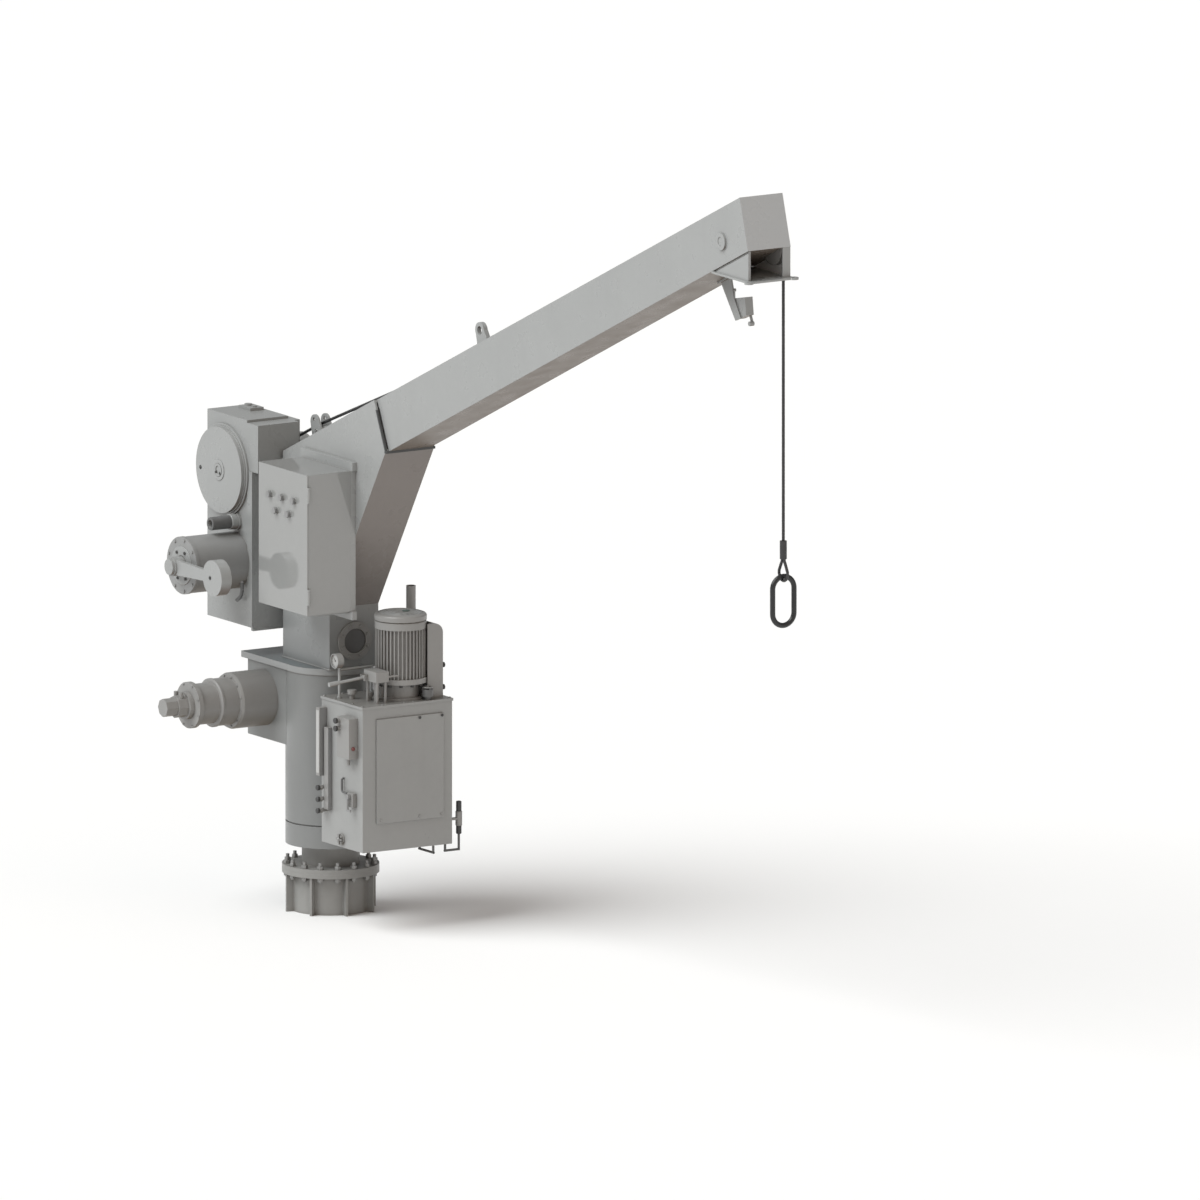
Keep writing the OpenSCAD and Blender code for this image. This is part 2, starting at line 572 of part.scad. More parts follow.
module cabinet_internals() color([0.75, 0.5, 0.3]) {
    boxc(40, 500, -204, -196, 1830, 2550);
    for (i = [0:3]) boxc(70 + i * 105, 150 + i * 105, -290, -204, 2100, 2230);
    boxc(70, 470, -260, -204, 1900, 1960);
    boxc(90, 450, -300, -204, 2300, 2450);
}
module button(i, c) color(c) union() {
    cyly(14.5, -496, -455, button_x[i], button_z[i]);
    cyly(19, -500, -488, button_x[i], button_z[i]);
}
module button_hoist() button(0, black);
module button_lower() button(1, black);
module button_stop() button(2, black);
module button_slew_left() button(3, black);
module button_slew_right() button(4, black);

// ---------- hydraulic power pack ----------
module oil_tank() color(paint) difference() {
    union() {
        boxc(tank_x0, tank_x1, -tank_hl, tank_hl, tank_z0, tank_z1);
        // brackets to the column
        for (z = [560, 1130]) for (s = [-1, 1]) boxc(150, tank_x0 + 1, s * 130 - 10, s * 130 + 10, z, z + 90);
        for (z = [560, 1130]) boxc(150, tank_x0 + 1, -130, 130, z, z + 12);
    }
    boxc(tank_x0 + 6, tank_x1 - 6, -tank_hl + 6, tank_hl - 6, tank_z0 + 6, tank_z1 + 1);
    cylz(column_r, 400, 1400);
}
module tank_lid() color(paint) {
    difference() {
        boxc(tank_x0 - 5, tank_x1 + 5, -tank_hl - 5, tank_hl + 5, tank_z1, lid_z);
        cylz(30, tank_z1 - 1, lid_z + 1, 652, 60);
        cylz(20.06, tank_z1 - 1, lid_z + 1, 796, 150);
    }
    // gear pump hung in the oil
    difference() { boxc(602, 702, 10, 110, 1100, 1220); cylz(19.08, 1110, 1230, 652, 60); }
    for (x = [611, 693]) for (y = [19, 101]) cylz(8, 1220, tank_z1, x, y);
}
module tank_fittings() color(paint_dark) {
    fy = -tank_hl;
    // junction box, level gauges, drain cocks, valve block and drain flange on the side
    boxc(640, 773, fy - 59, fy, 1000, 1230);
    for (z = [1210, 1165]) cyly(13, fy - 76, fy - 59, 668, z);
    cylz(9, 960, 1000, 720, fy - 30);
    boxc(402, 440, fy - 49, fy, 856, 1243);
    boxc(451, 494, fy - 26, fy, 669, 1136);
    for (z = [790, 724, 659]) { cyly(8, fy - 34, fy, 440, z); hexy(15, fy - 50, fy - 34, 440, z); cyly(9, fy - 30, fy, 414, z); }
    difference() { boxc(700, 760, fy - 26, fy, 722, 800); cyly(9.08, fy - 27, fy - 5, 724, 780); }
    cyly(32, fy - 10, fy, 601, 518);
    for (a = [45:90:315]) hexy(8, fy - 18, fy - 10, 601 + 23 * cos(a), 518 + 23 * sin(a));
    // vent pipe
    difference() { cylz(27, lid_z, 1884, 440, 258); cylz(21, lid_z + 10, 1890, 440, 258); }
    // breather
    cylz(15, lid_z, 1328, 557, -200);
    cylz(26, 1328, 1352, 557, -200);
    cylz(12, lid_z, 1318, 628, -128);
    cylz(20, 1318, 1344, 628, -128);
    // box beside the motor, with a rounded shoulder
    for (q = [[560, 188, 213], [748, 20, 182], [762, 6, 167]]) translate([q[0], 0, 0]) rotate([90, 0, 90]) linear_extrude(q[1])
        polygon(concat([[q[2], lid_z], [268, lid_z]], [for (a = [0:10:80]) [213 + 55 * cos(a), 1667 + 55 * sin(a)]], [[213, 1722]], q[2] < 213 ? [[q[2], 1722]] : []));
    // bails under the tank
    for (x = [672, 819]) cylz(6, 430, tank_z0, x, 173);
    cylx(6, 666, 825, 173, 430);
    cylz(6, 424, tank_z0, 800, 262);
    cyly(6, 262, 352, 800, 430);
    cylz(6, 424, 530, 800, 352);
    cylz(14, 520, 700, 800, 352);
    cylz(19, 566, 646, 800, 352);
    boxc(788, 812, tank_hl, 352, 600, 612);
}
module tank_valve_handle() color(paint_dark) {
    cyly(9, -tank_hl - 40, -tank_hl - 6, 724, 780);
    cyly(15, -tank_hl - 44, -tank_hl - 28, 724, 780);
    boxc(716, 732, -tank_hl - 44, -tank_hl - 36, 706, 780);
    boxc(716, 760, -tank_hl - 44, -tank_hl - 36, 698, 710);
}
module tank_access_panel() color(paint) {
    boxc(tank_x1, tank_x1 + 10, -206, 233, 630, 1224);
    for (y = [-180, 73, 219]) for (z = y < 0 ? [650] : [650, 1212]) cylx(7, tank_x1 + 10, tank_x1 + 15, y, z);
}
module pump_motor() color(paint_dark) {
    n = 40;
    translate([652, 60, 0]) {
        difference() {
            union() {
                translate([0, 0, 1420]) linear_extrude(285) polygon([for (i = [0:n - 1]) for (q = [[128, -0.5], [128, -0.19], [143, -0.16], [143, 0.16], [128, 0.19]])
                    let (a = (i + q[1]) * 360 / n) [q[0] * cos(a), q[0] * sin(a)]]);
                cylz(150, 1392, 1422);
                cylz(105, 1312, 1393);
                cylz(130, lid_z, 1313);
                translate([0, 0, 1700]) rotate_extrude() polygon([[0, 0], [146, 0], [146, 40], [140, 44], [148, 48], [148, 72], [142, 80], [124, 86], [124, 81], [0, 81]]);
            }
            cylz(110, 1430, 1765);
            cylz(21, 1290, 1431);
            cylz(84, 1320, 1385);
        }
        for (i = [0:11]) rotate([0, 0, 30 * i]) hexz(10, 1378, 1391.8, 128, 0);
    }
}
module pump_rotor() color(steel) translate([652, 60, 0]) {
    cylz(19, 1120, 1745);
    cylz(95, 1450, 1640);
    difference() { cylz(104, 1712, 1740); cylz(40, 1700, 1750); for (i = [0:5]) rotate([0, 0, 60 * i]) boxc(45, 98, -14, 14, 1700, 1750); }
    cylz(42, 1712, 1740);
}
module hand_pump() color(paint_dark) {
    boxc(645, 777, -175, -92, 1420, 1480);
    cyly(6, -92, -33, 771, 1449);
    for (x = [660, 762]) for (y = [-160, -107]) cylz(8, lid_z, 1420, x, y);
    cylz(14, lid_z, 1420, 712, -133);
    difference() {
        for (x = [647, 681]) boxc(x, x + 8, -200, -174, 1422, 1456);
        cylx(5.06, 640, 700, -189, 1438);
    }
}
module hand_pump_lever() color(steel) {
    cylx(12, 656, 680, -189, 1438);
    translate([668, -189, 1438]) rotate([95, 0, 0]) { cylinder(r = 9, h = 215); translate([0, 0, 171]) cylinder(r = 13, h = 60); }
    cylx(5, 645, 691, -189, 1438);
}
module pressure_gauge() color(paint) {
    cylz(8, lid_z, 1476, 503, -250);
    difference() { cyly(42, -284, -244, 503, 1514); cyly(37, -290, -274, 503, 1514); }
    cylz(13, 1300, 1312, 503, -250);
    cyly(7, -250, -40, 503, 1462);
    cylz(7, lid_z, 1469, 503, -40);
    cylz(12, 1300, 1312, 503, -40);
}
module filler_cap() color(paint_dark) {
    cylz(20, 1270, 1320, 796, 150);
    cylz(32, 1318, 1360, 796, 150);
    for (a = [0:120:240]) translate([796, 150, 1359.5]) rotate([0, 0, a]) boxc(0, 31, -6, 6, 0, 10);
}

foundation_stub();
pedestal_pillar();
foundation_bolts();
worm_wheel();
slewing_column();
column_end_ring();
column_bearings();
column_top_plate();
slewing_gear_housing();
worm_shaft();
worm_bearings();
slewing_gearbox();
slewing_motor();
boom_post();
access_port_ring();
boom();
head_bracket();
lifting_lug();
rope_guide_bracket();
guide_roller();
head_roller();
roller_covers();
head_sheave();
head_sheave_pin();
boom_rope();
fall_rope();
rope_eye();
suspension_link();
limit_switch();
limit_switch_arm();
winch_frame();
winch_casing();
winch_cover();
drum_end_cover();
rope_drum();
drum_gear();
idler_gear();
motor_pinion();
winch_motor();
brake_lever();
control_cabinet();
cabinet_door();
cabinet_brackets();
cabinet_internals();
button_hoist();
button_lower();
button_stop();
button_slew_left();
button_slew_right();
oil_tank();
tank_lid();
tank_fittings();
tank_valve_handle();
tank_access_panel();
pump_motor();
pump_rotor();
hand_pump();
hand_pump_lever();
pressure_gauge();
filler_cap();
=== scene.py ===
import json
import math
import random

import bpy
import numpy as np
from mathutils import Matrix, Vector


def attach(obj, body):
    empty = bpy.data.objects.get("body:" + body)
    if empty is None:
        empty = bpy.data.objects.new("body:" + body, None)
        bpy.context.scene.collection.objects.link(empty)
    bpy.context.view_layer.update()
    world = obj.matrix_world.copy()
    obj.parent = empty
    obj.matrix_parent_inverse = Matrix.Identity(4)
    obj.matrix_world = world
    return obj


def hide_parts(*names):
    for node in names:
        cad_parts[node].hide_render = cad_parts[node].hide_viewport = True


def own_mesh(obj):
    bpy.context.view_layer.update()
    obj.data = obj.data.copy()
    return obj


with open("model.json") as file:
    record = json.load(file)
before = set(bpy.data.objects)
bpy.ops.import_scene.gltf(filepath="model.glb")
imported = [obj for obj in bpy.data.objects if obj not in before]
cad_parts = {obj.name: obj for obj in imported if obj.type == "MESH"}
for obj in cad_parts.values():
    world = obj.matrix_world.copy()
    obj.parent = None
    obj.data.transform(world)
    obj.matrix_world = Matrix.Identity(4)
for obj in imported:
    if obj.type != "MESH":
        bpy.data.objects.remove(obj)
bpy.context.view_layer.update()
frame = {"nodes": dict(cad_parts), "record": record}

scene = bpy.context.scene
NODES = frame["nodes"]

# ---------------------------------------------------------------- camera
# The photograph is close to a parallel projection: 5.6 mm for each of its 1200 pixels.
AZ, EL = math.radians(58.6), math.radians(10.4)
back = Vector((math.sin(AZ) * math.cos(EL), -math.cos(AZ) * math.cos(EL), math.sin(EL)))
target = Vector((2.8946, 0.0, 2.2099))
cam_data = bpy.data.cameras.new("camera")
cam_data.type = "ORTHO"
cam_data.ortho_scale = 6.72
cam_data.clip_start, cam_data.clip_end = 0.1, 400.0
cam = bpy.data.objects.new("camera", cam_data)
scene.collection.objects.link(cam)
cam.location = target + back * 30.0
cam.rotation_mode = "QUATERNION"
cam.rotation_quaternion = (-back).to_track_quat("-Z", "Y")
scene.camera = cam

scene.view_settings.view_transform = "Standard"
scene.view_settings.look = "None"

# ---------------------------------------------------------------- dimensions repeated from the model, in metres
BOOM_A = math.radians(24.32)
CT, ST = math.cos(BOOM_A), math.sin(BOOM_A)
KNEE = (0.852, 2.748)
BOOM_D = 0.303
BOOM_L = 4.239
ROPE_Y = 0.105
DRUM = (-0.631, 2.432)
MOTOR = (-0.517, 1.935)
SHEAVE = (4.593, 4.4865)
FALL_X = 4.693


def loc(s, n):
    """Point (x, z) at s along the boom's underside and n above it."""
    return (KNEE[0] + s * CT - n * ST, KNEE[1] + s * ST + n * CT)


# ---------------------------------------------------------------- materials
def node(nt, kind, at=(0, 0), **values):
    n = nt.nodes.new(kind)
    n.location = at
    for k, v in values.items():
        setattr(n, k, v)
    return n


def ramp(nt, points, at=(0, 0)):
    n = node(nt, "ShaderNodeValToRGB", at)
    els = n.color_ramp.elements
    while len(els) > 1:
        els.remove(els[-1])
    els[0].position, els[0].color = points[0][0], (*points[0][1], 1)
    for pos, col in points[1:]:
        e = els.new(pos)
        e.color = (*col, 1)
    return n


def grey(v):
    return (v, v, v)


def mix_rgb(nt, mode, at=(0, 0)):
    n = node(nt, "ShaderNodeMix", at, data_type="RGBA", blend_type=mode)
    return n


def finish_material(name, base, rough=0.35, metallic=0.0, specular=0.5, tone=0.05, corner_grime_and_shade=0.35, grime_and_shade_col=(0.12, 0.10, 0.08),
                    wear=0.5, wear_col=(0.55, 0.55, 0.54), bump=0.10, bump_scale=220.0, edge=0.0025, rough_var=0.08,
                    streaks=0.3, coat=0.0, brushed=None, under_shade=(1.0, 1.0, 1.0), top_shade=(1.0, 1.0, 1.0), low_shade=None, end_highlight=None, inner_highlight=None):
    """A worked finish in object coordinates: tone drift, streaks, grime mixed with painted shade in corners, painted
    shade on faces turned down or up, painted highlights on chosen faces, painted shade towards the foot, worn edges,
    uneven gloss and a fine surface.
    """
    m = bpy.data.materials.new(name)
    m.use_nodes = True
    nt = m.node_tree
    nt.nodes.clear()
    out = node(nt, "ShaderNodeOutputMaterial", (1500, 0))
    bsdf = node(nt, "ShaderNodeBsdfPrincipled", (1200, 0))
    nt.links.new(bsdf.outputs[0], out.inputs[0])
    bsdf.inputs["Metallic"].default_value = metallic
    if min(under_shade) == 1.0:
        bsdf.inputs["Specular IOR Level"].default_value = specular
    if coat:
        bsdf.inputs["Coat Weight"].default_value = coat
        bsdf.inputs["Coat Roughness"].default_value = 0.18
    tc = node(nt, "ShaderNodeTexCoord", (-1400, 0))

    # tone drift over about a metre, and a finer mottling
    big = node(nt, "ShaderNodeTexNoise", (-1100, 400))
    big.inputs["Scale"].default_value = 1.7
    big.inputs["Detail"].default_value = 5.0
    big.inputs["Roughness"].default_value = 0.55
    nt.links.new(tc.outputs["Object"], big.inputs["Vector"])
    r_big = ramp(nt, [(0.30, tuple(c * (1 - tone) for c in base)), (0.5, base), (0.72, tuple(min(1, c * (1 + tone)) for c in base))], (-850, 400))
    nt.links.new(big.outputs["Fac"], r_big.inputs["Fac"])
    fine = node(nt, "ShaderNodeTexNoise", (-1100, 150))
    fine.inputs["Scale"].default_value = 26.0
    fine.inputs["Detail"].default_value = 4.0
    nt.links.new(tc.outputs["Object"], fine.inputs["Vector"])
    r_fine = ramp(nt, [(0.35, grey(1 - tone * 0.5)), (0.65, grey(1.0))], (-850, 150))
    nt.links.new(fine.outputs["Fac"], r_fine.inputs["Fac"])
    mul = mix_rgb(nt, "MULTIPLY", (-550, 300))
    mul.inputs["Factor"].default_value = 1.0
    nt.links.new(r_big.outputs["Color"], mul.inputs[6])
    nt.links.new(r_fine.outputs["Color"], mul.inputs[7])

    # vertical streaks where water runs down
    smap = node(nt, "ShaderNodeMapping", (-1250, -150))
    smap.inputs["Scale"].default_value = (14.0, 14.0, 0.9)
    nt.links.new(tc.outputs["Object"], smap.inputs["Vector"])
    sn = node(nt, "ShaderNodeTexNoise", (-1050, -150))
    sn.inputs["Scale"].default_value = 1.0
    sn.inputs["Detail"].default_value = 3.0
    nt.links.new(smap.outputs["Vector"], sn.inputs["Vector"])
    r_s = ramp(nt, [(0.52, grey(0.0)), (0.78, grey(streaks))], (-850, -150))
    nt.links.new(sn.outputs["Fac"], r_s.inputs["Fac"])
    dirt = mix_rgb(nt, "MIX", (-300, 250))
    dirt.inputs[7].default_value = (*[b * 0.72 + g * 0.28 for b, g in zip(base, grime_and_shade_col)], 1)
    nt.links.new(r_s.outputs["Color"], dirt.inputs["Factor"])
    nt.links.new(mul.outputs[2], dirt.inputs[6])

    # grime mixed with painted shade in corners, from ambient occlusion
    ao = node(nt, "ShaderNodeAmbientOcclusion", (-850, -420), samples=4)
    ao.inputs["Distance"].default_value = 0.045
    r_ao = ramp(nt, [(0.25, grey(corner_grime_and_shade)), (0.75, grey(0.0))], (-620, -420))
    nt.links.new(ao.outputs["AO"], r_ao.inputs["Fac"])
    corner_grime_and_shade_mix = mix_rgb(nt, "MIX", (-50, 200))
    corner_grime_and_shade_mix.inputs[7].default_value = (*grime_and_shade_col, 1)
    nt.links.new(r_ao.outputs["Color"], corner_grime_and_shade_mix.inputs["Factor"])
    nt.links.new(dirt.outputs[2], corner_grime_and_shade_mix.inputs[6])
    last = corner_grime_and_shade_mix.outputs[2]

    # painted shade by facing: faces turned downwards are darkened and warmed, steep undersides most, and up-facing
    # faces can be darkened as well
    geo = node(nt, "ShaderNodeNewGeometry", (-850, -880))
    if min(under_shade) < 1.0:
        sep = node(nt, "ShaderNodeSeparateXYZ", (-600, 620))
        nt.links.new(geo.outputs["Normal"], sep.inputs[0])
        up = node(nt, "ShaderNodeMapRange", (-430, 620))
        up.inputs["From Min"].default_value = -1.0
        up.inputs["From Max"].default_value = 1.0
        nt.links.new(sep.outputs["Z"], up.inputs["Value"])
        deep_under_shade = tuple(u * f for u, f in zip(under_shade, (0.70, 0.640, 0.570)))
        r_facing_shade = ramp(nt, [(0.05, deep_under_shade), (0.23, under_shade), (0.40, grey(1.0)), (0.80, grey(1.0)), (0.97, top_shade)], (-250, 620))
        nt.links.new(up.outputs["Result"], r_facing_shade.inputs["Fac"])
        facing_shade_mix = mix_rgb(nt, "MULTIPLY", (60, 420))
        facing_shade_mix.inputs["Factor"].default_value = 1.0
        nt.links.new(last, facing_shade_mix.inputs[6])
        nt.links.new(r_facing_shade.outputs["Color"], facing_shade_mix.inputs[7])
        last = facing_shade_mix.outputs[2]
        if end_highlight:
            # painted highlight: faces turned towards +X, such as the plate that closes the boom's end, are painted
            # paler to stand in for light falling on them
            r_end_highlight = ramp(nt, [(0.90, grey(0.0)), (0.94, grey(1.0))], (60, 620))
            nt.links.new(sep.outputs["X"], r_end_highlight.inputs["Fac"])
            end_highlight_mix = mix_rgb(nt, "MIX", (200, 420))
            end_highlight_mix.inputs[7].default_value = (*end_highlight, 1)
            nt.links.new(r_end_highlight.outputs["Color"], end_highlight_mix.inputs["Factor"])
            nt.links.new(last, end_highlight_mix.inputs[6])
            last = end_highlight_mix.outputs[2]
        # dust takes the gloss off the undersides
        r_sp = ramp(nt, [(0.05, grey(specular * 0.12)), (0.24, grey(specular * 0.3)), (0.40, grey(specular))], (300, 620))
        nt.links.new(up.outputs["Result"], r_sp.inputs["Fac"])
        nt.links.new(r_sp.outputs["Color"], bsdf.inputs["Specular IOR Level"])

    if inner_highlight:
        # painted highlight: faces turned towards -Y that lie beyond y0, the inner face of the far side, are painted
        # paler to stand in for light falling on them
        y0, col = inner_highlight
        sn2, so2 = node(nt, "ShaderNodeSeparateXYZ", (60, 900)), node(nt, "ShaderNodeSeparateXYZ", (60, 1050))
        nt.links.new(geo.outputs["Normal"], sn2.inputs[0])
        nt.links.new(tc.outputs["Object"], so2.inputs[0])
        m1 = node(nt, "ShaderNodeMath", (220, 900), operation="LESS_THAN")
        m1.inputs[1].default_value = -0.9
        nt.links.new(sn2.outputs["Y"], m1.inputs[0])
        m2 = node(nt, "ShaderNodeMath", (220, 1050), operation="GREATER_THAN")
        m2.inputs[1].default_value = y0
        nt.links.new(so2.outputs["Y"], m2.inputs[0])
        m3 = node(nt, "ShaderNodeMath", (380, 950), operation="MULTIPLY")
        nt.links.new(m1.outputs[0], m3.inputs[0])
        nt.links.new(m2.outputs[0], m3.inputs[1])
        inner_highlight_mix = mix_rgb(nt, "MIX", (500, 700))
        inner_highlight_mix.inputs[7].default_value = (*col, 1)
        nt.links.new(m3.outputs[0], inner_highlight_mix.inputs["Factor"])
        nt.links.new(last, inner_highlight_mix.inputs[6])
        last = inner_highlight_mix.outputs[2]

    # painted shade: darker towards the bottom, between z0 and z1, to stand in for the shade that falls low on the part
    if low_shade:
        z0, z1, f = low_shade
        sp = node(nt, "ShaderNodeSeparateXYZ", (60, 700))
        nt.links.new(tc.outputs["Object"], sp.inputs[0])
        h = node(nt, "ShaderNodeMapRange", (200, 700), interpolation_type="SMOOTHSTEP")
        h.inputs["From Min"].default_value = z0
        h.inputs["From Max"].default_value = z1
        nt.links.new(sp.outputs["Z"], h.inputs["Value"])
        r_low_shade = ramp(nt, [(0.0, f), (1.0, grey(1.0))], (350, 700))
        nt.links.new(h.outputs["Result"], r_low_shade.inputs["Fac"])
        foot = mix_rgb(nt, "MULTIPLY", (520, 420))
        foot.inputs["Factor"].default_value = 1.0
        nt.links.new(last, foot.inputs[6])
        nt.links.new(r_low_shade.outputs["Color"], foot.inputs[7])
        last = foot.outputs[2]

    # worn edges, from the difference between the rounded and the true normal
    bev = node(nt, "ShaderNodeBevel", (-850, -700), samples=4)
    bev.inputs["Radius"].default_value = edge
    dot = node(nt, "ShaderNodeVectorMath", (-620, -760), operation="DOT_PRODUCT")
    nt.links.new(bev.outputs["Normal"], dot.inputs[0])
    nt.links.new(geo.outputs["Normal"], dot.inputs[1])
    inv = node(nt, "ShaderNodeMath", (-450, -760), operation="SUBTRACT")
    inv.inputs[0].default_value = 1.0
    nt.links.new(dot.outputs["Value"], inv.inputs[1])
    wn = node(nt, "ShaderNodeTexNoise", (-620, -950))
    wn.inputs["Scale"].default_value = 38.0
    wn.inputs["Detail"].default_value = 6.0
    nt.links.new(tc.outputs["Object"], wn.inputs["Vector"])
    wr = ramp(nt, [(0.42, grey(0.0)), (0.62, grey(1.0))], (-400, -950))
    nt.links.new(wn.outputs["Fac"], wr.inputs["Fac"])
    wm = node(nt, "ShaderNodeMath", (-150, -800), operation="MULTIPLY")
    nt.links.new(inv.outputs[0], wm.inputs[0])
    nt.links.new(wr.outputs["Color"], wm.inputs[1])
    wg = node(nt, "ShaderNodeMath", (30, -800), operation="MULTIPLY", use_clamp=True)
    wg.inputs[1].default_value = 6.0 * wear
    nt.links.new(wm.outputs[0], wg.inputs[0])
    worn = mix_rgb(nt, "MIX", (250, 150))
    worn.inputs[7].default_value = (*wear_col, 1)
    nt.links.new(wg.outputs[0], worn.inputs["Factor"])
    nt.links.new(last, worn.inputs[6])
    nt.links.new(worn.outputs[2], bsdf.inputs["Base Color"])

    # uneven gloss
    rn = node(nt, "ShaderNodeTexNoise", (200, -150))
    rn.inputs["Scale"].default_value = 7.0
    rn.inputs["Detail"].default_value = 6.0
    nt.links.new(tc.outputs["Object"], rn.inputs["Vector"])
    rr = node(nt, "ShaderNodeMapRange", (450, -150))
    rr.inputs["From Min"].default_value = 0.3
    rr.inputs["From Max"].default_value = 0.7
    rr.inputs["To Min"].default_value = max(0.02, rough - rough_var)
    rr.inputs["To Max"].default_value = min(1.0, rough + rough_var)
    nt.links.new(rn.outputs["Fac"], rr.inputs["Value"])
    nt.links.new(rr.outputs["Result"], bsdf.inputs["Roughness"])

    # fine surface and rounded edges
    bn = node(nt, "ShaderNodeTexNoise", (450, -450))
    bn.inputs["Scale"].default_value = bump_scale
    bn.inputs["Detail"].default_value = 3.0
    if brushed:
        bmap = node(nt, "ShaderNodeMapping", (250, -450))
        bmap.inputs["Scale"].default_value = brushed
        nt.links.new(tc.outputs["Object"], bmap.inputs["Vector"])
        nt.links.new(bmap.outputs["Vector"], bn.inputs["Vector"])
    else:
        nt.links.new(tc.outputs["Object"], bn.inputs["Vector"])
    bp = node(nt, "ShaderNodeBump", (800, -400))
    bp.inputs["Strength"].default_value = bump
    bp.inputs["Distance"].default_value = 0.0012
    nt.links.new(bn.outputs["Fac"], bp.inputs["Height"])
    nt.links.new(bev.outputs["Normal"], bp.inputs["Normal"])
    nt.links.new(bp.outputs["Normal"], bsdf.inputs["Normal"])
    return m


# the under factors below are painted shade on faces turned downwards
SHADED = (0.69, 0.61, 0.575)
PAINT = finish_material("marine_paint", (0.318, 0.325, 0.322), rough=0.30, tone=0.028, streaks=0.10, corner_grime_and_shade=0.22, wear=0.30,
                        wear_col=(0.48, 0.48, 0.47), bump=0.04, bump_scale=90.0, rough_var=0.06, under_shade=SHADED)
GLOSS = finish_material("cabinet_paint", (0.272, 0.276, 0.271), rough=0.07, specular=1.0, tone=0.022, streaks=0.05, corner_grime_and_shade=0.16, wear=0.10,
                        wear_col=(0.36, 0.36, 0.35), bump=0.010, bump_scale=60.0, edge=0.0015, rough_var=0.02, under_shade=SHADED)
# the boom's paint gets a painted highlight: its end plate is paler
PAINT_BOOM = finish_material("boom_paint", (0.318, 0.325, 0.322), rough=0.30, tone=0.028, streaks=0.10, corner_grime_and_shade=0.22, wear=0.30,
                             wear_col=(0.48, 0.48, 0.47), bump=0.04, bump_scale=90.0, rough_var=0.06, under_shade=SHADED, end_highlight=(0.425, 0.438, 0.445))
# the head's paint gets a painted highlight: the inner face of its far gusset is paler
PAINT_HEAD = finish_material("head_paint", (0.318, 0.325, 0.322), rough=0.30, tone=0.028, streaks=0.10, corner_grime_and_shade=0.16, wear=0.30,
                             wear_col=(0.48, 0.48, 0.47), bump=0.04, bump_scale=90.0, rough_var=0.06, under_shade=SHADED, inner_highlight=(0.100, (0.74, 0.74, 0.73)))
# a darker copy of the grey paint, as painted shade on the winch's casing and cover
PAINT_WINCH_SHADED = finish_material("winch_paint_shaded", (0.292, 0.299, 0.296), rough=0.30, tone=0.028, streaks=0.10, corner_grime_and_shade=0.22, wear=0.30,
                              wear_col=(0.46, 0.46, 0.45), bump=0.04, bump_scale=90.0, rough_var=0.06, under_shade=SHADED)
# a darker copy of the grey paint, as painted shade on the tank, with its top faces darkened further as painted shade
PAINT_TANK_SHADED = finish_material("tank_paint_shaded", (0.300, 0.303, 0.298), rough=0.33, tone=0.035, streaks=0.12, corner_grime_and_shade=0.28, wear=0.30,
                             wear_col=(0.46, 0.46, 0.45), bump=0.05, bump_scale=90.0, rough_var=0.06, under_shade=SHADED, top_shade=(0.72, 0.70, 0.68))
# the post's paint gets painted shade, darker towards its foot
PAINT_POST = finish_material("post_paint", (0.318, 0.325, 0.322), rough=0.30, tone=0.028, streaks=0.10, corner_grime_and_shade=0.22, wear=0.30,
                             wear_col=(0.48, 0.48, 0.47), bump=0.04, bump_scale=90.0, rough_var=0.06, under_shade=SHADED, low_shade=(1.42, 2.00, (0.76, 0.77, 0.78)))
# the plate's top faces are darkened and cooled as painted shade
PLATE = finish_material("deck_plate_paint", (0.310, 0.317, 0.315), rough=0.36, tone=0.04, streaks=0.12, corner_grime_and_shade=0.45, wear=0.35,
                        wear_col=(0.44, 0.44, 0.43), bump=0.08, bump_scale=90.0, rough_var=0.08, under_shade=SHADED, top_shade=(0.60, 0.655, 0.685))
PAINT_DARK = finish_material("machine_paint", (0.268, 0.265, 0.258), rough=0.38, tone=0.045, streaks=0.10, corner_grime_and_shade=0.34, wear=0.45,
                             wear_col=(0.46, 0.46, 0.45), bump=0.12, rough_var=0.07, under_shade=(0.78, 0.75, 0.71))
PAINT_BASE = finish_material("foundation_paint", (0.262, 0.260, 0.250), rough=0.45, tone=0.07, streaks=0.26, corner_grime_and_shade=0.50, wear=0.6,
                             wear_col=(0.40, 0.40, 0.39), bump=0.20, rough_var=0.10, under_shade=(0.8, 0.8, 0.8))
# a darker copy of the grey paint, as painted shade on the column, its end ring and the gear housing
PAINT_COLUMN_SHADED = finish_material("column_paint_shaded", (0.222, 0.227, 0.225), rough=0.34, tone=0.03, streaks=0.12, corner_grime_and_shade=0.24, wear=0.30,
                               wear_col=(0.42, 0.42, 0.41), bump=0.04, bump_scale=90.0, rough_var=0.06, under_shade=SHADED)
MOTOR_PAINT = finish_material("motor_paint", (0.268, 0.270, 0.268), rough=0.36, tone=0.035, streaks=0.08, corner_grime_and_shade=0.30, wear=0.35,
                              wear_col=(0.42, 0.42, 0.41), bump=0.06, bump_scale=90.0, rough_var=0.07, under_shade=(0.80, 0.76, 0.72))
SLEEVE = finish_material("dark_sleeve", (0.115, 0.116, 0.116), rough=0.38, tone=0.08, streaks=0.0, corner_grime_and_shade=0.4, grime_and_shade_col=(0.03, 0.03, 0.03),
                         wear=0.4, wear_col=(0.24, 0.24, 0.24), bump=0.08, edge=0.0015, rough_var=0.08)
FAN = finish_material("fan_cover_green", (0.095, 0.140, 0.125), rough=0.36, tone=0.05, streaks=0.0, corner_grime_and_shade=0.4, wear=0.3,
                      wear_col=(0.36, 0.36, 0.35), bump=0.05, edge=0.0015, rough_var=0.07)
